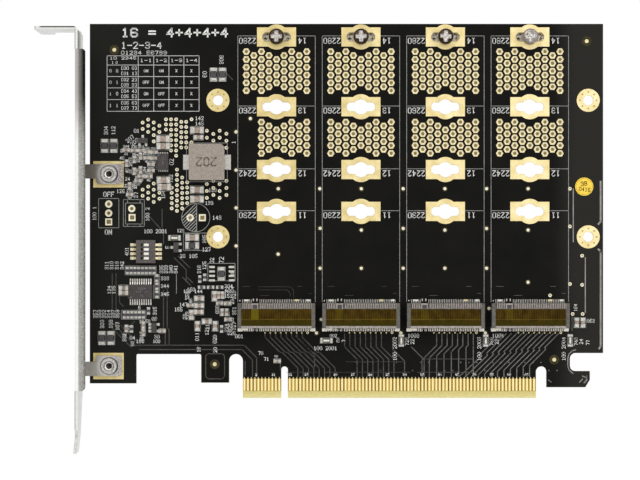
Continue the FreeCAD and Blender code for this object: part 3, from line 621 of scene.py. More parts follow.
def openingLoop(grow):
    # The winged slot's outline, moved outwards by grow.
    half, rise = padLook["slotLong"] / 2 + grow, padLook["slotTall"] / 2 + grow
    radius, cut = padLook["slotRound"] + grow, padLook["slotCut"] + grow * 0.6
    turn = math.degrees(math.asin(rise / radius))
    right = [(half - cut, -rise), (half, -rise + cut), (half, rise - cut), (half - cut, rise)]
    left = [(-x, -y) for x, y in right]
    return right + arc(0, 0, radius, turn, 180 - turn, 10) + left + arc(0, 0, radius, 180 + turn, 360 - turn,
                                                                        10)


def padLoop():
    half, rise, radius = padLook["long"] / 2, padLook["tall"] / 2, padLook["round"]
    turn = math.degrees(math.asin(rise / radius))
    right = [(half, -rise), (half, rise)]
    left = [(-half, rise), (-half, -rise)]
    return right + arc(0, 0, radius, turn, 180 - turn, 14) + left + arc(0, 0, radius, 180 + turn, 360 - turn,
                                                                        14)


def padUnit(segments, radius, hole, rise, rounded=False, turn=0.0):
    # A pad whose middle is let in, in the second material.
    bm = bmesh.new()
    place = Matrix.Translation((0, 0, rise / 2 - 0.005)) @ Matrix.Rotation(turn, 4, "Z")
    bmesh.ops.create_cone(bm, cap_ends=True, segments=segments, radius1=radius, radius2=radius,
                          depth=rise + 0.01, matrix=place)
    top = max(bm.faces, key=lambda face: face.calc_center_median().z)
    bmesh.ops.inset_region(bm, faces=[top], thickness=(radius - hole) * math.cos(math.pi / segments))
    if rounded:
        side = 2 * hole * math.sin(math.pi / segments)
        bmesh.ops.bevel(bm, geom=list(top.verts), offset=side * 0.28, offset_type="OFFSET", segments=1,
                        profile=0.5, affect="VERTICES", material=-1)
        bm.faces.ensure_lookup_table()
        top = max((f for f in bm.faces if f.normal.z > 0.9), key=lambda face: len(face.verts))
    bmesh.ops.translate(bm, vec=(0, 0, -rise * 0.8), verts=top.verts)
    top.material_index = 1
    return meshFrom(bm, "padUnit")


hexLook = {"across": 1.05, "hole": 0.48, "pitchX": 2.165, "pitchY": 2.24, "rise": 0.05,
           "upperStart": 99.3, "upper": (6, 5, 6, 5, 4, 5, 6, 5, 6),
           "lowerStart": 79.1, "lower": (5, 4, 5, 4, 3, 4, 5, 4, 5)}
viaLook = {"radius": 0.52, "hole": 0.2, "rise": 0.03, "dot": 0.46, "dotRise": 0.035, "halo": 0.82,
           "haloRise": 0.008}

# Single vias, and columns of them round the regulator as (x, top, pitch, count), in millimetres
singleVias = [
    (-1.8, 60.0), (10.1, 60.0), (-13.9, 76.3), (-13.9, 65.35), (-13.9, 54.5), (-9.8, 80.1), (10.2, 48.65),
    (-13.9, 43.6), (-1.85, 41.25), (10.2, 37.2), (10.5, 22.5), (9.15, 18.65), (22.0, 60.0), (34.0, 60.0),
    (45.95, 60.0), (57.9, 60.0), (69.8, 60.0), (34.0, 48.6), (57.9, 48.6),
    (22.0, 48.15), (45.95, 48.15), (69.8, 48.15), (22.0, 37.2), (34.0, 37.2), (45.95, 37.2), (57.9, 37.2),
    (69.8, 33.2), (58.6, 25.7),
    (33.35, 18.65), (57.55, 18.65),
]
ringVias = [(76.1, 29.45), (82.6, 24.1), (85.45, 24.1), (81.8, 60.0), (81.8, 49.2), (81.8, 32.7),
            (85.3, 40.8),
            (85.3, 32.45)]
viaColumns = [
    (-40.67, 78.97, 1.83, 2), (-39.09, 79.83, 1.77, 3), (-37.49, 78.97, 1.8, 4), (-35.88, 78.06, 1.78, 2),
    (-33.99, 79.89, 1.45, 3), (-32.53, 79.89, 1.49, 7), (-31.07, 79.89, 1.49, 8), (-29.61, 79.17, 1.47, 6),
    (-28.2, 79.17, 1.47, 6), (-26.66, 79.89, 6.6, 2), (-22.27, 76.62, 1.98, 2), (-18.6, 76.62, 1.98, 2),
    (-20.41, 75.7, 1.89, 2), (-16.66, 75.76, 2.01, 3), (-40.67, 59.75, 1.78, 2), (-39.09, 60.61, 1.73, 3),
    (-37.49, 61.47, 1.75, 4), (-35.88, 58.84, 1.7, 2), (-32.33, 60.3, 1.48, 5), (-30.84, 65.49, 1.48, 9),
    (-29.35, 63.22, 1.48, 7), (-27.92, 61.82, 1.49, 5), (-22.27, 61.33, 1.98, 3), (-18.6, 61.33, 1.98, 3),
    (-20.41, 62.25, 2.02, 3), (-16.66, 62.25, 2.02, 3),
]
plateHoles = [(x, y) for x in (-19.1, 87.05) for y in (46.2, 85.35)]
marks = [(-48.8, 99.8), (86.6, 102.3), (-20.0, 9.7), (77.3, 11.0)]  # sighting marks for the placing machine
tabPads = [(-54.82, -46.1, 60.35, 67.9), (-54.82, -46.1, 5.4, 12.95)]
pinLook = {"round": (16, 1.05, 0.5, 0.04), "square": (4, 1.4, 0.6, 0.04, False, math.pi / 4)}
pinPads = [
    (-50.4, 55.6, "round"), (-50.4, 53.0, "round"), (-50.4, 50.5, "square"), (-43.8, 54.3, "round"),
    (-43.7, 51.75, "square"), (-27.06, 51.7, "round"), (-23.56, 51.7, "square"),
]
# The plate holes' rings, each with a circle of dots, and the rings of the sighting marks
plateLook = {"bore": 1.5, "ring": 3.3, "dots": 8, "circle": 2.38, "dot": 0.26}
markLook = {"dot": 0.56, "inner": 0.5, "outer": 1.4}


def goldLayer(end, sheet, flip):
    # The large gold pads, then the small dots: honeycomb pads, vias and pin pads.
    bm = bmesh.new()
    rise = padLook["rise"]
    for middle in bays:
        for row in rows:
            addShape(bm, [padLoop(), openingLoop(0.02)], sunk, rise, 0, middle * flip, row)
    for x, y in plateHoles:
        addRing(bm, x * flip, y, plateLook["bore"] + 0.02, plateLook["ring"], sunk, rise, 40)
        for dotX, dotY in arc(x * flip, y, plateLook["circle"], 45, 360, plateLook["dots"] - 1):
            addDisc(bm, dotX, dotY, plateLook["dot"], 0.02, rise + 0.01, 10, 1)
    placed("padGold" + end, bm, ["gold", "ringVia"], sheet)

    bm = bmesh.new()
    hexUnit = padUnit(6, hexLook["across"], hexLook["hole"], hexLook["rise"], True, math.radians(30))
    for bay, middle in enumerate(bays):
        for start, counts in ((hexLook["upperStart"], hexLook["upper"]),
                              (hexLook["lowerStart"], hexLook["lower"])):
            for column, count in enumerate(counts):
                if bay == 0 and counts == hexLook["lower"] and column < 2:
                    continue
                x = middle + (column - 4) * hexLook["pitchX"]
                top = start - (max(counts) - count) * hexLook["pitchY"] / 2
                for step in range(count):
                    addStamp(bm, hexUnit, x * flip, top - step * hexLook["pitchY"])
    placed("hexPads" + end, bm, ["cream", "plug"], sheet)

    bm = bmesh.new()
    viaUnit = padUnit(10, viaLook["radius"], viaLook["hole"], viaLook["rise"])
    inColumns = [(x, top - step * pitch) for x, top, pitch, count in viaColumns for step in range(count)]
    for x, y in ringVias + inColumns:
        addStamp(bm, viaUnit, x * flip, y)
    for x, y in singleVias:
        addDisc(bm, x * flip, y, viaLook["halo"], sunk, viaLook["haloRise"], 14, 2)
        addDisc(bm, x * flip, y, viaLook["dot"], sunk, viaLook["dotRise"], 12, 0)
    for x, y, kind in pinPads:
        addStamp(bm, padUnit(*pinLook[kind]), x * flip, y)
    placed("viaPads" + end, bm, ["viaTin", "plug", "halo"], sheet)


goldLayer("", frontSheet, 1)
goldLayer("Back", backSheet, -1)


def plating():
    # Plated walls of the winged slots and the plate holes, and the two grounding pads under the tabs.
    bm = bmesh.new()
    depth = (boardHigh.y - boardLow.y) / mm
    for middle in bays:
        for row in rows:
            addShape(bm, [openingLoop(-0.001), openingLoop(-padLook["plating"])], -depth, 0.01, 0, middle,
                     row)
    for x, y in plateHoles:
        addRing(bm, x, y, plateLook["bore"] - padLook["plating"], plateLook["bore"] - 0.001, -depth, 0.01, 32)
    for xLow, xHigh, yLow, yHigh in tabPads:
        x, y = middleOf((xLow, xHigh, yLow, yHigh))
        corners = [(xLow - x, yLow - y), (xHigh - x, yLow - y), (xHigh - x, yHigh - y), (xLow - x, yHigh - y)]
        screwX, screwY = min(screwPlaces, key=lambda place: abs(place[1] - y))
        addShape(bm, [corners, arc(screwX - x, screwY - y, 1.75, 0, 345, 23)], sunk, 0.02, 0, x, y)
    placed("slotPlating", bm, ["gold"])


plating()


def sightingMarks():
    bm = bmesh.new()
    for box in solidBoxes("edge_contacts"):  # the fingers' ties, which run up under the mask
        if box[5] > 0:
            addBar(bm, middleOf(box)[0], 0.2, box[3], box[3] + 0.45, sunk, 0.012, 2)
    for x, y in marks:
        addRing(bm, x, y, markLook["inner"], markLook["outer"], sunk, 0.006, 24, 1)
        addDisc(bm, x, y, markLook["dot"], sunk, 0.03, 16, 0)
    placed("sightingMarks", bm, ["cream", "halo", "gold"])


sightingMarks()


# Copper under the mask

traceLook = {"width": 0.26, "rise": 0.012, "fingerTop": 6.1, "level": 0.1, "fine": 0.09, "edge": 0.28,
             "edgeWide": 0.5, "dot": 0.2, "dotRise": 0.016}


def fanRuns():
    # The data lanes from each socket down to the tongue. Each bay has its own way round its neighbours.
    runs = []
    end = traceLook["fingerTop"]
    for i in range(8):
        x = -5.6 + 1.53 * i
        runs.append([(x, 18.4), (x, 17.4), (x + 4.2, 13.2), (x + 4.9, 13.1), (x + 9.4, 8.6), (x + 9.4, end)])
        x = 17.2 + 1.51 * i
        runs.append([(x, 18.4), (x, 14.7), (x + 3.6, 11.1), (x + 3.6, end)])
        x, last = 43.6 + 1.5 * i, 39.4 + 2.1 * i
        runs.append([(x, 18.4), (x, 15.1), (last, 15.1 - abs(x - last)), (last, end)])
    for i in range(12):
        x, last = 62.0 + 1.5 * i, 50.0 + 1.84 * i
        middle = (x + last) / 2
        fall = 18.0 - (x - middle)
        runs.append([(x, 18.45), (middle + 0.15, fall + 0.6), (middle + 0.6, fall + 0.2),
                     (middle, fall - 0.4),
                     (last, max(end, fall - 0.4 - (middle - last))), (last, end)])
    return runs


otherRuns = [
    [(-42.8, 15.15), (-11.5, 15.15), (-8.0, 11.6), (-8.0, 6.1)],
    [(-41.6, 13.9), (-12.2, 13.9), (-9.2, 10.9), (-9.2, 6.1)],
    [(-34.7, 31.0), (-34.7, 20.0), (-34.2, 19.3), (-34.2, 15.2)],
    [(-33.65, 31.0), (-33.65, 20.2), (-33.1, 19.5), (-33.1, 15.2)],
    [(-50.4, 21.0), (-44.0, 14.6)], [(-49.1, 21.3), (-42.8, 15.0)], [(-47.8, 21.6), (-41.8, 15.6)],
    [(-49.4, 35.6), (-49.4, 24.6), (-47.8, 23.0)], [(-48.3, 35.6), (-48.3, 25.2), (-46.9, 23.8)],
    [(-35.1, 54.1), (-35.1, 48.8)], [(-38.6, 51.9), (-35.6, 48.6)], [(-34.7, 48.0), (-34.7, 44.3)],
    [(-17.6, 94.0), (-14.9, 91.3)],
    [(-31.6, 40.2), (-28.2, 36.8), (-28.2, 33.5)], [(-30.4, 40.6), (-27.2, 37.4)],
    [(75.6, 5.2), (76.4, 4.6)], [(86.6, 6.4), (86.6, 5.4), (85.8, 4.4)],
    [(-22.6, 6.2), (-22.6, 12.1), (-22.0, 12.7), (-17.8, 12.7), (-17.2, 12.1), (-17.2, 6.2), (-17.8, 5.5),
     (-22.0, 5.5), (-22.6, 6.2)],
    [(82.4, 23.4), (82.4, 19.4)], [(-47.3, 29.4), (-47.3, 27.4), (-46.2, 26.3)],
    [(-29.2, 34.6), (-27.0, 32.4)], [(-28.2, 34.9), (-26.4, 33.1)], [(-43.0, 22.0), (-46.8, 18.2)],
    [(-11.3, 10.5), (-11.3, 6.6)], [(-1.2, 11.4), (-1.2, 8.0)], [(3.2, 17.8), (8.6, 12.4), (8.6, 9.0)],
    [(31.0, 17.2), (31.0, 14.0), (34.4, 10.6), (34.4, 6.1)], [(36.4, 14.6), (40.0, 11.0), (40.0, 6.1)],
]
# Faint level runs between the sockets and the tongue
levelRuns = [
    [(11.2, 7.4), (36.0, 7.4)], [(38.0, 7.4), (54.0, 7.4)], [(40.0, 11.2), (53.8, 11.2)],
    [(17.6, 10.4), (33.8, 10.4)],
    [(0.5, 7.4), (9.4, 7.4)],
]
# Thin single runs above the sockets, from the middle of each bay
socketRuns = [
    [(-5.2, 31.9), (3.9, 31.9), (4.9, 30.9), (4.9, 28.8)], [(-5.2, 31.0), (3.0, 31.0), (3.9, 30.1),
                                                            (3.9, 29.1)],
    [(-9.6, 32.0), (-7.6, 32.0)], [(6.0, 32.0), (7.4, 32.0)], [(9.2, 30.0), (10.2, 30.0)],
    [(-4.6, 29.4), (-2.2, 29.4)],
]
# Bare copper at the far edge of the card, the two wide runs first
edgeRuns = [
    [(90.6, 62.0), (90.6, 50.6), (90.0, 49.9)], [(90.0, 42.6), (90.6, 42.0), (90.6, 14.9), (90.2, 14.2)],
    [(82.75, 59.9), (82.75, 44.8)], [(86.2, 40.2), (86.2, 24.6)],
    [(83.4, 13.8), (82.4, 13.5), (81.5, 12.6), (81.2, 11.4), (81.2, 9.2), (81.6, 8.0), (82.6, 7.1)],
    [(85.4, 6.3), (86.4, 5.9), (86.7, 5.2), (86.0, 4.4)], [(84.6, 4.6), (85.4, 5.4)],
]


def addRuns(bm, runs, width, middle=0.0):
    for run in runs:
        addLine(bm, [(middle + x, y) for x, y in run], width, sunk, traceLook["rise"])


def boardTraces():
    bm = bmesh.new()
    addRuns(bm, edgeRuns[:2], traceLook["edgeWide"])
    addRuns(bm, edgeRuns[2:], traceLook["edge"])
    placed("edgeCopper", bm, ["edgeCopper"])

    bm = bmesh.new()
    addRuns(bm, fanRuns() + otherRuns, traceLook["width"])
    addRuns(bm, levelRuns, traceLook["level"])
    for bay, middle in enumerate(bays):
        addRuns(bm, socketRuns[2 if bay else 0:], traceLook["fine"], middle)
    x = 20.6
    while x < 80:
        addDisc(bm, x, 10.2 if int(x) % 3 else 7.9, traceLook["dot"], sunk, traceLook["dotRise"], 8)
        x += 2.3
    placed("boardTraces", bm, ["trace"])

    bm = bmesh.new()
    runs = [[(-82.0, y), (8.0, y), (14.0, y + 6.0), (50.0, y + 6.0)]
            for y in (21.0, 22.2, 30.5, 31.7, 45.0, 46.2, 72.5, 73.7)]
    for i in range(24):
        x, up = -68.0 + 2.9 * i, i % 4
        runs.append([(x, traceLook["fingerTop"]), (x, 9.0 + up), (x + 3.0, 12.0 + up), (x + 3.0, 17.5)])
    addRuns(bm, runs, traceLook["width"])
    placed("boardTracesBack", bm, ["trace"], backSheet)


boardTraces()

# White print

# Figures in place of the parts' reference codes: the figures, x and y, by height and turn
figures = {
    (1, 0): (
        "19 -41 21.9, 3 -37.3 22.6, 109 -36.7 16.3, 63 -41 16.5, 36 -46.4 70.9, 46 -46.6 68.8, "
        "24 -45 62.8, 128 -29.8 48, 002 14 17.9, 50 -39.2 22"
    ),
    (1.05, 0): "121 -27.9 30.6, 71 -5.2 11.2, 73 -6.8 12.9",
    (1.1, 0): (
        "338 -34.3 34.3, 344 -34.3 32.1, 345 -34.3 29.8, 5 -41.6 25.9, 14 -27.9 28.7, 147 -29 26.8, "
        "155 -30.4 25.4, 126 -47 59.3, 139 -21.6 55.9, 138 -20.6 59.6, 28 -29.2 40.7, 001 -13 17.7, "
        "053 87.8 22.1, 204 -16 32.1, 153 -16.1 30.6, 151 -16.1 29.3, 326 -15.2 18.6, 150 -26.8 31.1, "
        "144 -24.7 30.6, 04 -43.6 17.3, 163 -41.4 16.3, 30 -36.6 17.6, 03 -37.3 22.7"
    ),
    (1.15, 0): (
        "01 -42.4 76.6, 142 -24.4 80.2, 143 -24.4 78.7, 100_2001 -37 47.8, 127 -22.4 42.6, "
        "105 -26.2 40.7, 100_2001 11.7 14.3"
    ),
    (1.2, 0): "143 -19.4 51.7",
    (1.2, 40): "207 -44.3 74.3, 209 -43 73.4",
    (1, 90): (
        "60 -43.6 15.6, 62 -45.9 17.6, 52 -16.3 31.2, 54 -15 31.2, 28 -15 27.6, 29 -16.3 24.2, "
        "33 -15 22.4, 31 -16 18.8, 26 -15 35.7, 48 -45.2 65.2, 69 15.3 16.6, 7 16.9 16.4, 6 -2.4 12, "
        "154 83.4 25.9, 77 86.9 15.9, 46 -26.9 27.9, 161 -44.9 19.8, 315 -41 18"
    ),
    (1.1, 90): (
        "311 -51 38, 310 -49.6 38, 318 -48.1 38, 342 -46.6 38, 335 -35.3 36.9, 339 -34 36.9, "
        "340 -32.6 36.9, 341 -31.2 36.9, 357 -54.3 24.1, 358 -53.1 24.1, 332 -51.8 24.1, 314 -50.5 24.1, "
        "337 -49.2 24.1, 359 -47.9 24.1, 134 -50.3 31, 135 -49 31, 318 -24.5 36.9, 125 -23 38, "
        "23 -28.6 23.4, 16 -24.6 13.9, 21 -22.1 20.4, 20 -19.9 13.8, 132 -32.6 62.9, 134 -34.8 58.3, "
        "5 -33.6 43.2, 305 -23 45.6, 100_1 -54.5 52.9, 100_2 -39.3 52.7, 203 -42.9 61.2, 328 -14.5 29.6, "
        "030 -19.3 25.4, 351 -14.4 25, 327 -14.5 20.6, 325 -15.6 20.3, 324 -16.7 20.1, 121 -22.3 19.2, "
        "329 -27.9 23.6, 158 -27.9 29.4, 362 -45.9 17.4, 315 -37.2 25, 107 -47.9 20.6"
    ),
    (1.15, 90): (
        "303 -52.3 21.2, 109 -49.8 21.2, 304 -51.2 76.7, 112 -49.1 76.7, 401 -45.2 42, 011 -25.1 17.6, "
        "020 -20 16.9"
    ),
    (1.2, 90): "02 -20.8 39.4, 1 -14.6 73.3, 37 -42.6 58.2, 308 -18.1 97",
    (1.25, 90): "60 -22.9 92.8",
    (1.3, 90): "02 -32.4 67.7",
    (1.4, 90): "72 -18.1 39.5",
}


def partFigures():
    # A code on both sides of each small part round the converter. A neighbour may hide it.
    found = []
    for number, box in enumerate(solidBoxes("converter_chips")):
        x, y = middleOf(box)
        lying = box[1] - box[0] > box[3] - box[2]
        for side, code in ((-1, 31 + number), (1, 264 + 3 * number)):
            if lying:
                found.append((f"{code}", x, y + side * 1.05, 0.85, 0))
            else:
                found.append((f"{code}", x + side * 1.15, y, 0.85, 90))
    return found


def socketFigures():
    found = []
    for number, middle in enumerate(bays[1:], start=2):
        found.append((f"100 200{number}", middle + 9.7, 14.1, 1.15, 90))
        found.append((f"{70 + number}8", middle + 13.2, 16.2, 1.1, 90))
        found.append((f"2{number}", middle + 14.7, 16.2, 1.1, 90))
        if number > 2:
            found.append((f"100{number}", middle - 9.15, 17.9, 1.15, 0))
    return found


# Larger print: the figures, x, y, height, width over all and pen
headings = [
    ("16 = 4+4+4+4", -31.5, 104.75, 2.75, 30.6, 0.46), ("1-2-3-4", -41.0, 101.1, 2.0, 11.6, 0.26),
    ("01234 56789", -40.3, 99.0, 1.1, 13.1, 0.15), ("OFF", -50.4, 58.4, 1.5, None, 0.22),
    ("ON", -50.5, 47.6, 1.5, None, 0.22),
]


def whitePrint():
    bm = bmesh.new()
    for (height, turn), group in figures.items():
        for words, x, y in (figure.split() for figure in group.split(",")):
            addText(bm, words.replace("_", " "), float(x), float(y), height, turn)
    for words, x, y, height, turn in partFigures() + socketFigures():
        addText(bm, words, x, y, height, turn)
    for words, x, y, height, width, pen in headings:
        addText(bm, words, x, y, height, 0, width, pen)
    for middle in bays:
        for words, code, row in zip(("2280", "2260", "2242", "2230"), "4321", rows):
            addText(bm, words, middle - 8.3, row - 1.1, 1.7, 180, 4.9, 0.2)
            addText(bm, f"1{code}", middle + 7.4, row - 1.1, 1.7, 180, pen=0.2)
    for step in range(12):
        addText(bm, f"{(step + 2) * 5}", 14.55 + 4.98 * step, 6.75, 0.8, pen=0.17)
    for x, words in ((-8.1, "2"), (-3.2, "11"), (1.6, "12"), (6.2, "15")):
        addText(bm, words, x, 6.75, 0.8, pen=0.17)
    placed("whiteFigures", bm, ["ink"])


def switchTable():
    # The settings table: a switch combination for each pair of addresses.
    bm = bmesh.new()
    columns = (-50.87, -41.95, -37.5, -33.15, -28.85, -24.5)
    lines = (98.1, 95.45, 92.15, 88.9, 85.55, 82.2)
    for x in columns:
        addLine(bm, [(x, lines[0]), (x, lines[-1])], inkLook["fine"])
    for y in lines:
        addLine(bm, [(columns[0], y), (columns[-1], y)], inkLook["fine"])
    addText(bm, "10 2345", -46.3, 97.45, 0.85, 0, 7.6, 0.13)
    addText(bm, "1 0", -48.7, 96.2, 0.8, pen=0.13)
    for number, (left, right) in enumerate(zip(columns[1:], columns[2:]), start=1):
        addText(bm, f"1-{number}", (left + right) / 2, 96.8, 1.0, 0, 3.3, 0.14)
    states = ("ON", "OFF")
    for number in range(4):
        y = (lines[number + 1] + lines[number + 2]) / 2
        for rise, code in ((0.75, number * 2), (-0.75, number * 2 + 1)):
            addText(bm, f"[0{code} {code}]", -44.6, y + rise, 1.0, 0, 4.6, 0.15)
        first, second = divmod(number, 2)
        for words, x in ((f"{first}", -49.9), (f"{second}", -48.0)):
            addText(bm, words, x, y, 0.95, pen=0.13)
        for words, x in ((states[second], -39.7), (states[first], -35.3), ("X", -31.0), ("X", -26.7)):
            addText(bm, words, x, y, 0.9, pen=0.13)
    placed("switchTable", bm, ["ink"])


outlineFrames = [
    (-53.3, -47.5, 48.8, 57.2), (-46.2, -40.2, 49.2, 56.9), (-45.6, -40.8, 49.9, 55.9),
    (-28.1, -16.4, 62.0, 73.1),
    (-22.0, -14.2, 33.6, 38.6), (-45.7, -36.8, 35.3, 37.85), (-46.8, -39.75, 22.6, 25.15),
    (-37.3, -35.9, 28.6, 35.45), (-29.0, -21.3, 42.3, 47.3),
]
outlineRuns = [
    [(-45.0, 55.9), (-45.0, 56.9)], [(-45.0, 49.2), (-45.0, 49.9)], [(-41.4, 55.9), (-41.4, 56.9)],
    [(-41.4, 49.2), (-41.4, 49.9)], [(-37.6, 28.5), (-37.6, 32.4)], [(-44.85, 28.6), (-44.85, 30.0)],
    [(-32.9, 37.4), (-31.0, 35.5), (-31.0, 30.0)],
]
# How far the frame round each part stands off, and how much further past its ends
partFrames = {"large_capacitors": (0.3, 0.65), "ferrite_beads": (0.3, 0.65), "medium_capacitors": (0.3, 0.5),
              "status_lights": (0.12, 0.5), "converter_chips": (0.2, 0), "small_capacitors": (0.2, 0)}


def roundOutline(bm, x, y):
    # A round footprint with one half hatched.
    addRing(bm, x, y, 3.98, 4.12, inkLook["low"], inkLook["high"], 40)
    addLine(bm, [(x + 0.25, y - 3.95), (x + 0.25, y + 3.95)], 0.2)
    for step in range(9):
        offset = -5.4 + 0.95 * step
        ends = []
        for tick in range(-60, 61):
            right = tick / 60 * 4.0
            up = right - offset - 1.4
            if right * right + up * up < 15.2 and right < 0.15:
                ends.append((right + x, up + y))
        if len(ends) > 3:
            addLine(bm, [ends[0], ends[-1]], 0.24)


def whiteOutlines():
    bm = bmesh.new()
    for area in outlineFrames:
        addFrame(bm, *area)
    for run in outlineRuns:
        addLine(bm, run)
    roundOutline(bm, -25.45, 51.7)
    for step in range(9):
        addDisc(bm, -36.8, 65.6 + 0.5 * step, 0.14, inkLook["low"], inkLook["high"], 8)
    for node, (gap, end) in partFrames.items():
        for xLow, xHigh, yLow, yHigh, _, _ in solidBoxes(node):
            wide, tall = (end, 0) if xHigh - xLow > yHigh - yLow else (0, end)
            addFrame(bm, xLow - wide - gap, xHigh + wide + gap, yLow - tall - gap, yHigh + tall + gap)
    placed("whiteOutlines", bm, ["fadedInk"])

    bm = bmesh.new()
    for middle in bays:
        for side in (-1, 1):
            edge, inner = middle + side * 11.1, middle + side * 5.6
            addLine(bm, [(edge, 27.6), (edge, 103.8), (inner, 103.8)])
            for row in rows[1:]:
                addLine(bm, [(edge, row + 0.2), (inner, row + 0.2)])
    placed("bayFrames", bm, ["fadedInk"])


def backPrint():
    bm = bmesh.new()
    for middle in bays:
        addFrame(bm, -middle - 11.1, -middle + 11.1, 20.0, 27.4)
        for row, code in zip(rows, "4321"):
            addText(bm, code, -middle - 7.2, row - 1.1, 1.5, pen=0.2)
    addText(bm, "4 = 1+1+1+1", 30.0, 99.0, 2.2, pen=0.3)
    for step in range(13):
        addText(bm, f"{(step + 1) * 5}", -9.5 - 4.98 * step, 6.75, 0.8, pen=0.17)
    placed("backFigures", bm, ["ink"], backSheet)


whitePrint()
switchTable()
whiteOutlines()
backPrint()

# Sockets

socketLook = {"rib": 0.28, "ribPitch": 0.5, "ribLow": 25.75, "ribHigh": 27.2, "spring": 0.16,
              "tailLow": 27.25,
              "tailHigh": 28.3, "tailWidth": 0.22, "top": 4.2, "key": -6.125, "keyGap": 0.9, "dots": 8,
              "dotPitch": 1.51}


def socketDetail(number, middle):
    # Ribs and the key of the mouth, the spring contacts behind them, and the solder at front and back.
    pitch, top = socketLook["ribPitch"], socketLook["top"]
    key = middle + socketLook["key"]
    places = [middle + (step - 19.5) * pitch for step in range(40)]
    places = [x for x in places if abs(x - key) > socketLook["keyGap"]]
    bm = bmesh.new()
    for x in places:
        addBar(bm, x + pitch / 2, socketLook["rib"], socketLook["ribLow"], socketLook["ribHigh"], top - 0.62,
               top - 0.02, 1, 0.04)
    # The two blocks in the dark third finish, in the key gap and under the ribs, are painted shade inside the
    # mouth.
    mouth = [(key - 0.8, 0.3, 25.65, 27.2, -0.4, 0.03, 1, 0.06), (key + 0.8, 0.3, 25.65, 27.2, -0.4, 0.03, 1,
                                                                  0.06),
             (key, 1.9, 26.8, 27.2, -0.4, 0.02, 1, 0.06), (key, 1.3, 25.7, 26.8, -0.4, -0.1, 2, 0.0),
             (middle, 20.2, 20.15, 20.75, -0.02, 0.05, 1, 0.05), (middle, 19.9, 25.8, 27.15, -0.75, -0.58, 2,
                                                                  0.0)]
    for edge in (middle - 10.62, middle + 10.62):
        mouth += [(edge, 0.9, 20.15, 27.2, -0.02, 0.05, 0, 0.05), (edge, 0.6, 25.9, 26.9, 0.0, 0.08, 0, 0.06)]
    for x, wide, yLow, yHigh, low, high, slot, bevel in mouth:
        addBar(bm, x, wide, yLow, yHigh, top + low, top + high, slot, bevel)
    placed(f"socketRibs_{number}", bm, ["plastic", "paleEdge", "bead"])

    bm = bmesh.new()
    for x in places:
        addBar(bm, x, socketLook["spring"], 23.9, 26.2, 1.75, 2.1, 0, 0.03)
    placed(f"socketSprings_{number}", bm, ["leadGold"])

    bm = bmesh.new()
    for x in places:
        addBar(bm, x, socketLook["tailWidth"], socketLook["tailLow"], socketLook["tailHigh"], sunk, 0.2, 0,
               0.04)
        addBar(bm, x, 0.24, 19.15, 20.0, sunk, 0.05, 1)
    for x, wide, high, slot in ((key - 0.5, 0.4, 28.5, 0), (key + 0.5, 0.4, 28.5, 0),
                                (middle + 5.8, 1.4, 28.3, 2),
                                (middle - 8.6, 1.4, 28.25, 1), (middle + 9.05, 1.1, 28.3, 1),
                                (middle - 10.5, 0.3, 28.1, 1)):
        addBar(bm, x, wide, 27.7, high, sunk, 0.22, slot, 0.06)
    addBar(bm, middle - 9.1, 1.6, 19.35, 20.05, sunk, 0.22, 1, 0.06)
    for x in (key - 0.7, key + 0.45):  # curls of solder at the key
        addRing(bm, x, 19.5, 0.18, 0.38, sunk, 0.06, 12, 0)
    addRing(bm, middle + 8.9, 18.75, 0.15, 0.38, sunk, 0.05, 12, 2)
    for step in range(socketLook["dots"]):
        addBar(bm, middle - 3.3 + socketLook["dotPitch"] * step, 0.4, 18.45, 18.95, sunk, 0.05, 2, 0.1)
    placed(f"socketTails_{number}", bm, ["tin", "brightTin", "cream"])


for number, middle in enumerate(bays, start=1):
    socketDetail(number, middle)

# Small parts

chipLook = {"end": 0.26, "proud": 0.03, "bevel": 0.06, "solder": 0.05, "along": 0.26, "across": 0.05}


def addSolder(bm, area, slot, along, across):
    # Solder that spreads from a metal end onto its pad, further along the part than across it.
    xLow, xHigh, yLow, yHigh = area
    wide, long = (along, across) if xHigh - xLow < yHigh - yLow else (across, along)
    addBox(bm, xLow - wide, xHigh + wide, yLow - long, yHigh + long, sunk, chipLook["solder"], slot,
           bevel=0.03)


def smallChips(name, node, body):
    # Each small part gets its ceramic body, two wrapped metal ends and the solder under them.
    bm = bmesh.new()
    proud = chipLook["proud"]
    for xLow, xHigh, yLow, yHigh, low, high in solidBoxes(node):
        end = max(xHigh - xLow, yHigh - yLow) * chipLook["end"]
        if xHigh - xLow >= yHigh - yLow:
            wide, long = end * 0.8, proud
            ends = [(xLow, xLow + end, yLow, yHigh), (xHigh - end, xHigh, yLow, yHigh)]
        else:
            wide, long = proud, end * 0.8
            ends = [(xLow, xHigh, yLow, yLow + end), (xLow, xHigh, yHigh - end, yHigh)]
        addBox(bm, xLow + wide, xHigh - wide, yLow + long, yHigh - long, low, high - proud)
        for area in ends:
            addBox(bm, *area, low, high, 1, bevel=chipLook["bevel"])
            addSolder(bm, area, 2, chipLook["along"], chipLook["across"])
    piece = placed(name, bm, [body, "tin", "solder"])
    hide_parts(node)


smallChips("resistorChips", "resistors", "glaze")
smallChips("capacitorChips", "small_capacitors", "ceramic")
smallChips("converterChips", "converter_chips", "ceramic")


# How far the solder spreads along and across each kind of end or lead
solderSpread = {
    "large_capacitor_ends": (0.3, 0.1), "medium_capacitor_ends": (0.25, 0.08),
    "ferrite_bead_ends": (0.35, 0.1),
    "status_light_ends": (0.12, 0.05), "coil_terminals": (0.2, 0.1), "socket_anchors": (0.06, 0.06),
    "switch_leads": (0.1, 0.1), "controller_leads": (0.05, 0.05), "transistor_leads": (0.15, 0.25),
}


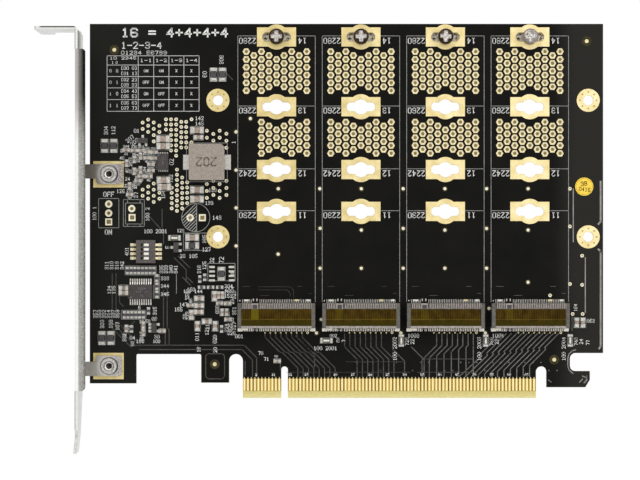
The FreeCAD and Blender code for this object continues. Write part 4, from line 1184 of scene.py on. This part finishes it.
def partSolder():
    # Solder and bare pads under everything else that stands on the board.
    bm = bmesh.new()
    switchX = middleOf(solidBoxes("switch_base")[0])[0]
    chipY = middleOf(solidBoxes("controller_chip")[0])[1]
    for node, (along, across) in solderSpread.items():
        for xLow, xHigh, yLow, yHigh, low, high in solidBoxes(node):
            if node == "switch_leads":  # only the foot of a lead is soldered
                xLow, xHigh = (xLow, xLow + 1.0) if xLow < switchX else (xHigh - 1.0, xHigh)
            elif node == "controller_leads":
                yLow, yHigh = (yLow, yLow + 0.6) if yLow < chipY else (yHigh - 0.6, yHigh)
            addSolder(bm, (xLow, xHigh, yLow, yHigh), 0, along, across)
            if "capacitor" in node:  # the tin wraps further over the top than the end itself
                wide, long = (along, 0) if xHigh - xLow < yHigh - yLow else (0, along)
                addBox(bm, xLow - wide * 0.3, xHigh + wide, yLow - long * 0.3, yHigh + long, high - 0.1,
                       high + 0.015, 1, bevel=0.03)
    for box in solidBoxes("status_lights"):  # the light's own bright core
        wide, long, high = box[1] - box[0], box[3] - box[2], box[5]
        wide, long = (wide * 0.75, long * 0.38) if wide > long else (wide * 0.38, long * 0.75)
        x, y = middleOf(box)
        addBar(bm, x, wide, y - long / 2, y + long / 2, high - 0.05, high + 0.02, 2, 0.02)
    for x in (-20.8, -15.2):  # bare pads of an empty eight-lead place
        for step in range(4):
            y = 33.45 + 1.27 * step
            addBar(bm, x, 1.6, y, y + 0.6, sunk, 0.05, 1)
    for step in range(6):
        x = -36.15 + 0.5 * step
        for y in (70.0, 64.9):
            addBox(bm, x, x + 0.25, y, y + 0.5, sunk, 0.08, 1)
    placed("partSolder", bm, ["solder", "tin", "glow"])


partSolder()


def marksOn(bm, box, rows, height, turn=0.0, width=None, pen=0.1, high=0.012):
    # Rows of figures on top of a part, each as its figures and its place from the part's middle.
    x, y = middleOf(box)
    for words, right, up in rows:
        addText(bm, words, x + right, y + up, height, turn, width, pen, box[5] - 0.003, box[5] + high)


def partMarks():
    # Marks on the parts themselves: plain figures and the dot beside the first lead.
    bm = bmesh.new()
    chip = solidBoxes("controller_chip")[0]
    marksOn(bm, chip, [("01234", 0.4, 1.0), ("567 890", 0.4, 0.0), ("12", 0.4, -1.0)], 0.65)
    addDisc(bm, chip[0] + 0.6, chip[2] + 0.6, 0.22, chip[5] - 0.003, chip[5] + 0.012, 12)
    chip = solidBoxes("regulator_chip")[0]
    marksOn(bm, chip, [("012", 0.0, 0.7), ("345", 0.0, -0.3)], 0.65, 90)
    addDisc(bm, chip[0] + 0.45, chip[3] - 0.45, 0.18, chip[5] - 0.003, chip[5] + 0.012, 12)
    low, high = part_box("switch_cover")
    cover = [low.x / mm, high.x / mm, low.z / mm, high.z / mm, 0.0, (boardLow.y - low.y) / mm]
    x, y = middleOf(cover)
    for number in (1, 2, 3, 4):
        low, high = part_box(f"switch_slider_{number}")
        up = (low.z + high.z) / 2 / mm - y
        marksOn(bm, cover, [(f"{number}", cover[1] - 0.42 - x, up)], 0.55, 90)
    marksOn(bm, cover, [("ON", cover[0] + 0.35 - x, 0.0)], 0.5, 90)
    placed("laserMarks", bm, ["laserMark"])

    bm = bmesh.new()
    marksOn(bm, solidBoxes("coil_body")[0], [("202", 0.0, 0.0)], 2.6, 180, 5.8, 0.34, 0.01)
    placed("coilMark", bm, ["coilMark"])

    bm = bmesh.new()
    disc = solidBoxes("round_sticker")[0]
    x, y = middleOf(disc)
    low, high = disc[5] - 0.002, disc[5] + 0.01
    addText(bm, "38", x - 0.1, y + 0.85, 1.35, 8, pen=0.2, low=low, high=high)
    addText(bm, "0416", x + 0.1, y - 0.8, 1.2, -6, pen=0.18, low=low, high=high)
    addRing(bm, x, y, 2.28, 2.36, low, high - 0.002, 36)
    placed("labelFigures", bm, ["labelInk"])


partMarks()

# Screws

screwLook = {"seat": 2.5, "radius": 2.2, "height": 1.2, "crown": 0.3, "cross": 1.35, "reach": 1.95,
             "deep": 0.5,
             "middle": 2.3,
             "shank": 1.0, "shankLong": 2.8, "threads": 9}


def screwUnit(name, radius, height, crown, shank, shankLong, threads, dimple=0.0):
    # A pan head and its threaded shank, spun about the axis, head upwards from z = 0.
    profile = [(0, height), (radius * 0.55, height - crown * 0.25), (radius * 0.85, height - crown),
               (radius, height * 0.5), (radius * 0.98, 0.02), (shank, 0.0)]
    step = shankLong / threads
    for turn in range(threads):
        z = -step * turn
        profile += [(shank * 0.86, z - step * 0.3), (shank, z - step * 0.65), (shank, z - step * 0.8)]
    if dimple:
        profile += [(shank * 0.96, -shankLong + 0.2), (shank * 0.82, -shankLong), (dimple, -shankLong + 0.12),
                    (0, -shankLong + 0.7)]
    else:
        profile += [(shank * 0.8, -shankLong), (0, -shankLong)]
    bm = bmesh.new()
    verts = [bm.verts.new((x, 0, z)) for x, z in profile]
    edges = [bm.edges.new(pair) for pair in zip(verts, verts[1:])]
    bmesh.ops.spin(bm, geom=verts + edges, cent=(0, 0, 0), axis=(0, 0, 1), angle=2 * math.pi, steps=32,
                   use_merge=True)
    bmesh.ops.remove_doubles(bm, verts=bm.verts, dist=1e-4)
    bmesh.ops.recalc_face_normals(bm, faces=bm.faces)
    for face in bm.faces:
        middle = face.calc_center_median()
        face.material_index = 2 if middle.z < -0.03 else 0
        # The tip's rim takes the head's finish; its cup keeps the dark thread finish as painted shade.
        if dimple and middle.z < 0.25 - shankLong and middle.xy.length > dimple:
            face.material_index = 0
    mesh = meshFrom(bm, name)
    holder = linked(name, mesh)

    cutter = bmesh.new()
    arm = 2 * screwLook["reach"] * radius / screwLook["radius"]
    deep, wide, middle = screwLook["deep"], screwLook["cross"], screwLook["middle"]
    for turn, size in ((0, (arm, wide)), (90, (arm, wide)), (45, (middle, middle))):  # the driver's cross
        place = Matrix.Translation((0, 0, height - deep / 2 + 0.05)) @ Matrix.Rotation(math.radians(turn), 4,
                                                                                       "Z")
        block = place @ Matrix.Diagonal((*size, deep + 0.1, 1))
        made = bmesh.ops.create_cube(cutter, size=1, matrix=block)["verts"]
        floor = [vert for vert in made if vert.co.z < height - deep / 2]  # narrower at its floor
        bmesh.ops.scale(cutter, vec=(0.62, 0.62, 1), verts=floor)
    cutMesh = meshFrom(cutter, "cross")
    cross = linked("cross", cutMesh)
    cut = holder.modifiers.new("cross", "BOOLEAN")
    cut.operation = "DIFFERENCE"
    cut.solver = "EXACT"
    cut.use_self = True
    cut.object = cross
    for _ in range(3):
        mesh.materials.append(None)
        cutMesh.materials.append(None)
    for face in cutMesh.polygons:
        face.material_index = 1
    bpy.context.view_layer.update()
    finished = bpy.data.meshes.new_from_object(holder.evaluated_get(bpy.context.evaluated_depsgraph_get()))
    for item in (holder, cross):
        bpy.data.objects.remove(item)
    return finished


def moduleScrews():
    bm = bmesh.new()
    unit = screwUnit("moduleScrew", screwLook["radius"], screwLook["height"], screwLook["crown"],
                     screwLook["shank"],
                     screwLook["shankLong"], screwLook["threads"])
    for number, middle in enumerate(bays):
        addStamp(bm, unit, middle, rows[0], math.radians((0, 2, -3, 8)[number]), screwLook["seat"])
    # The heads' dark tint is a painted reflection and their bright cross a painted highlight.
    piece = placed("moduleScrewHeads", bm, ["screw", "recess", "shadedThread"], tidy=False)
    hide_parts("module_screws")


# Radius, start, end and steps of each painted arc, then its width, height and finish: painted shade above,
# painted highlight below
wingArcLook = {"out": 2.65, "arcs": [(0.85, 10, 115, 8, 0.45, 0.25, 0), (0.7, -80, -15, 5, 0.6, 0.2, 1)]}


def paintedWingArcs():
    # Painted shade and painted highlight on the standoffs' flanges where they show in the wings of their
    # slots, as slightly raised arcs: the darker above, the brighter below.
    bm = bmesh.new()
    depth = -(boardHigh.y - boardLow.y) / mm
    for middle in bays:
        for side in (-1, 1):
            x = middle + side * wingArcLook["out"]
            for radius, start, end, steps, wide, rise, slot in wingArcLook["arcs"]:
                spots = [(x + side * (px - x), py) for px, py in arc(x, rows[0], radius, start, end, steps)]
                addLine(bm, spots, wide, depth - 0.02, depth + rise, slot)
    placed("paintedWingArcs", bm, ["tin", "brightTin"])


def bracketScrews():
    bm = bmesh.new()
    low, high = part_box("bracket_screws")
    radius = (high.x - low.x) / 2 / mm
    height = (high.y - boardHigh.y) / mm
    shankLong = (boardHigh.y - low.y) / mm
    unit = screwUnit("bracketScrew", radius, height, 0.5, 1.44, shankLong, 10, 0.88)
    for box in solidBoxes("bracket_screws"):
        addStamp(bm, unit, -(box[0] + box[1]) / 2, (box[2] + box[3]) / 2, math.radians(17))
    piece = placed("bracketScrewHeads", bm, ["screwHead", "screw", "shadedThread"], backSheet,
                   tidy=False)
    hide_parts("bracket_screws")


moduleScrews()
paintedWingArcs()
bracketScrews()

# Floor, light and camera

roomLook = {"floor": -0.055, "reach": 0.42, "ambient": 0.62, "glow": 0.3, "world": "#ffffff"}


def seenRays(tree):
    # 1 for camera, glossy and see-through rays, which see white, and 0 for the rest.
    path = tree.nodes.new("ShaderNodeLightPath")
    seen, glossy, through = [Signal(tree, path.outputs[f"Is {kind} Ray"]) for kind in ("Camera", "Glossy",
                                                                                       "Transmission")]
    return seen.math("MAXIMUM", glossy).math("MAXIMUM", through)


def room():
    world = bpy.data.worlds.new("studio")
    bpy.context.scene.world = world
    world.use_nodes = True
    tree = world.node_tree
    light = tree.nodes["Background"]
    feed(light.inputs["Strength"], seenRays(tree) * (1 - roomLook["ambient"]) + roomLook["ambient"])
    light.inputs["Color"].default_value = colour(roomLook["world"])

    bm = bmesh.new()
    bmesh.ops.create_grid(bm, x_segments=8, y_segments=8, size=roomLook["reach"],
                          matrix=Matrix.Translation((0.01, -0.01, roomLook["floor"])))
    mesh = meshFrom(bm, "floor")
    floor = linked("floor", mesh)
    material = bpy.data.materials.new("paleFloor")
    material.use_nodes = True
    tree = material.node_tree
    shader = tree.nodes["Principled BSDF"]
    for socket, value in (("Base Color", (0.8, 0.8, 0.8, 1)), ("Roughness", 0.9), ("Specular IOR Level", 0.1),
                          ("Emission Color", (1, 1, 1, 1))):
        shader.inputs[socket].default_value = value
    feed(shader.inputs["Emission Strength"], seenRays(tree) * roomLook["glow"])
    mesh.materials.append(material)


lamps = {
    "keyLamp": {"at": (-0.45, -0.75, 0.75), "size": 0.7, "power": 5.0},
    "fillLamp": {"at": (0.6, -0.7, 0.35), "size": 0.8, "power": 3.0},
    "backLamp": {"at": (0.2, 0.7, 0.7), "size": 0.8, "power": 3.5},
}
lampTarget = (0.012, 0, 0.045)


def addLamps():
    target = Vector(lampTarget)
    for name, look in lamps.items():
        lamp = bpy.data.lights.new(name, "AREA")
        lamp.shape = "SQUARE"
        lamp.size = look["size"]
        lamp.energy = look["power"]
        holder = linked(name, lamp, look["at"])
        holder.rotation_euler = (target - holder.location).to_track_quat("-Z", "Y").to_euler()


cameraLook = {"at": (0.01016, -0.8008, 0.0453), "lens": 157.0, "sensor": 36, "near": 0.01}


def addCamera():
    camera = bpy.data.cameras.new("camera")
    camera.lens = cameraLook["lens"]
    camera.sensor_width = cameraLook["sensor"]
    camera.clip_start = cameraLook["near"]
    holder = linked("camera", camera, cameraLook["at"])
    holder.rotation_euler = (math.pi / 2, 0, 0)
    bpy.context.scene.camera = holder


room()
addLamps()
addCamera()
bpy.context.scene.view_settings.view_transform = "Standard"
print("room, lamps and camera placed")
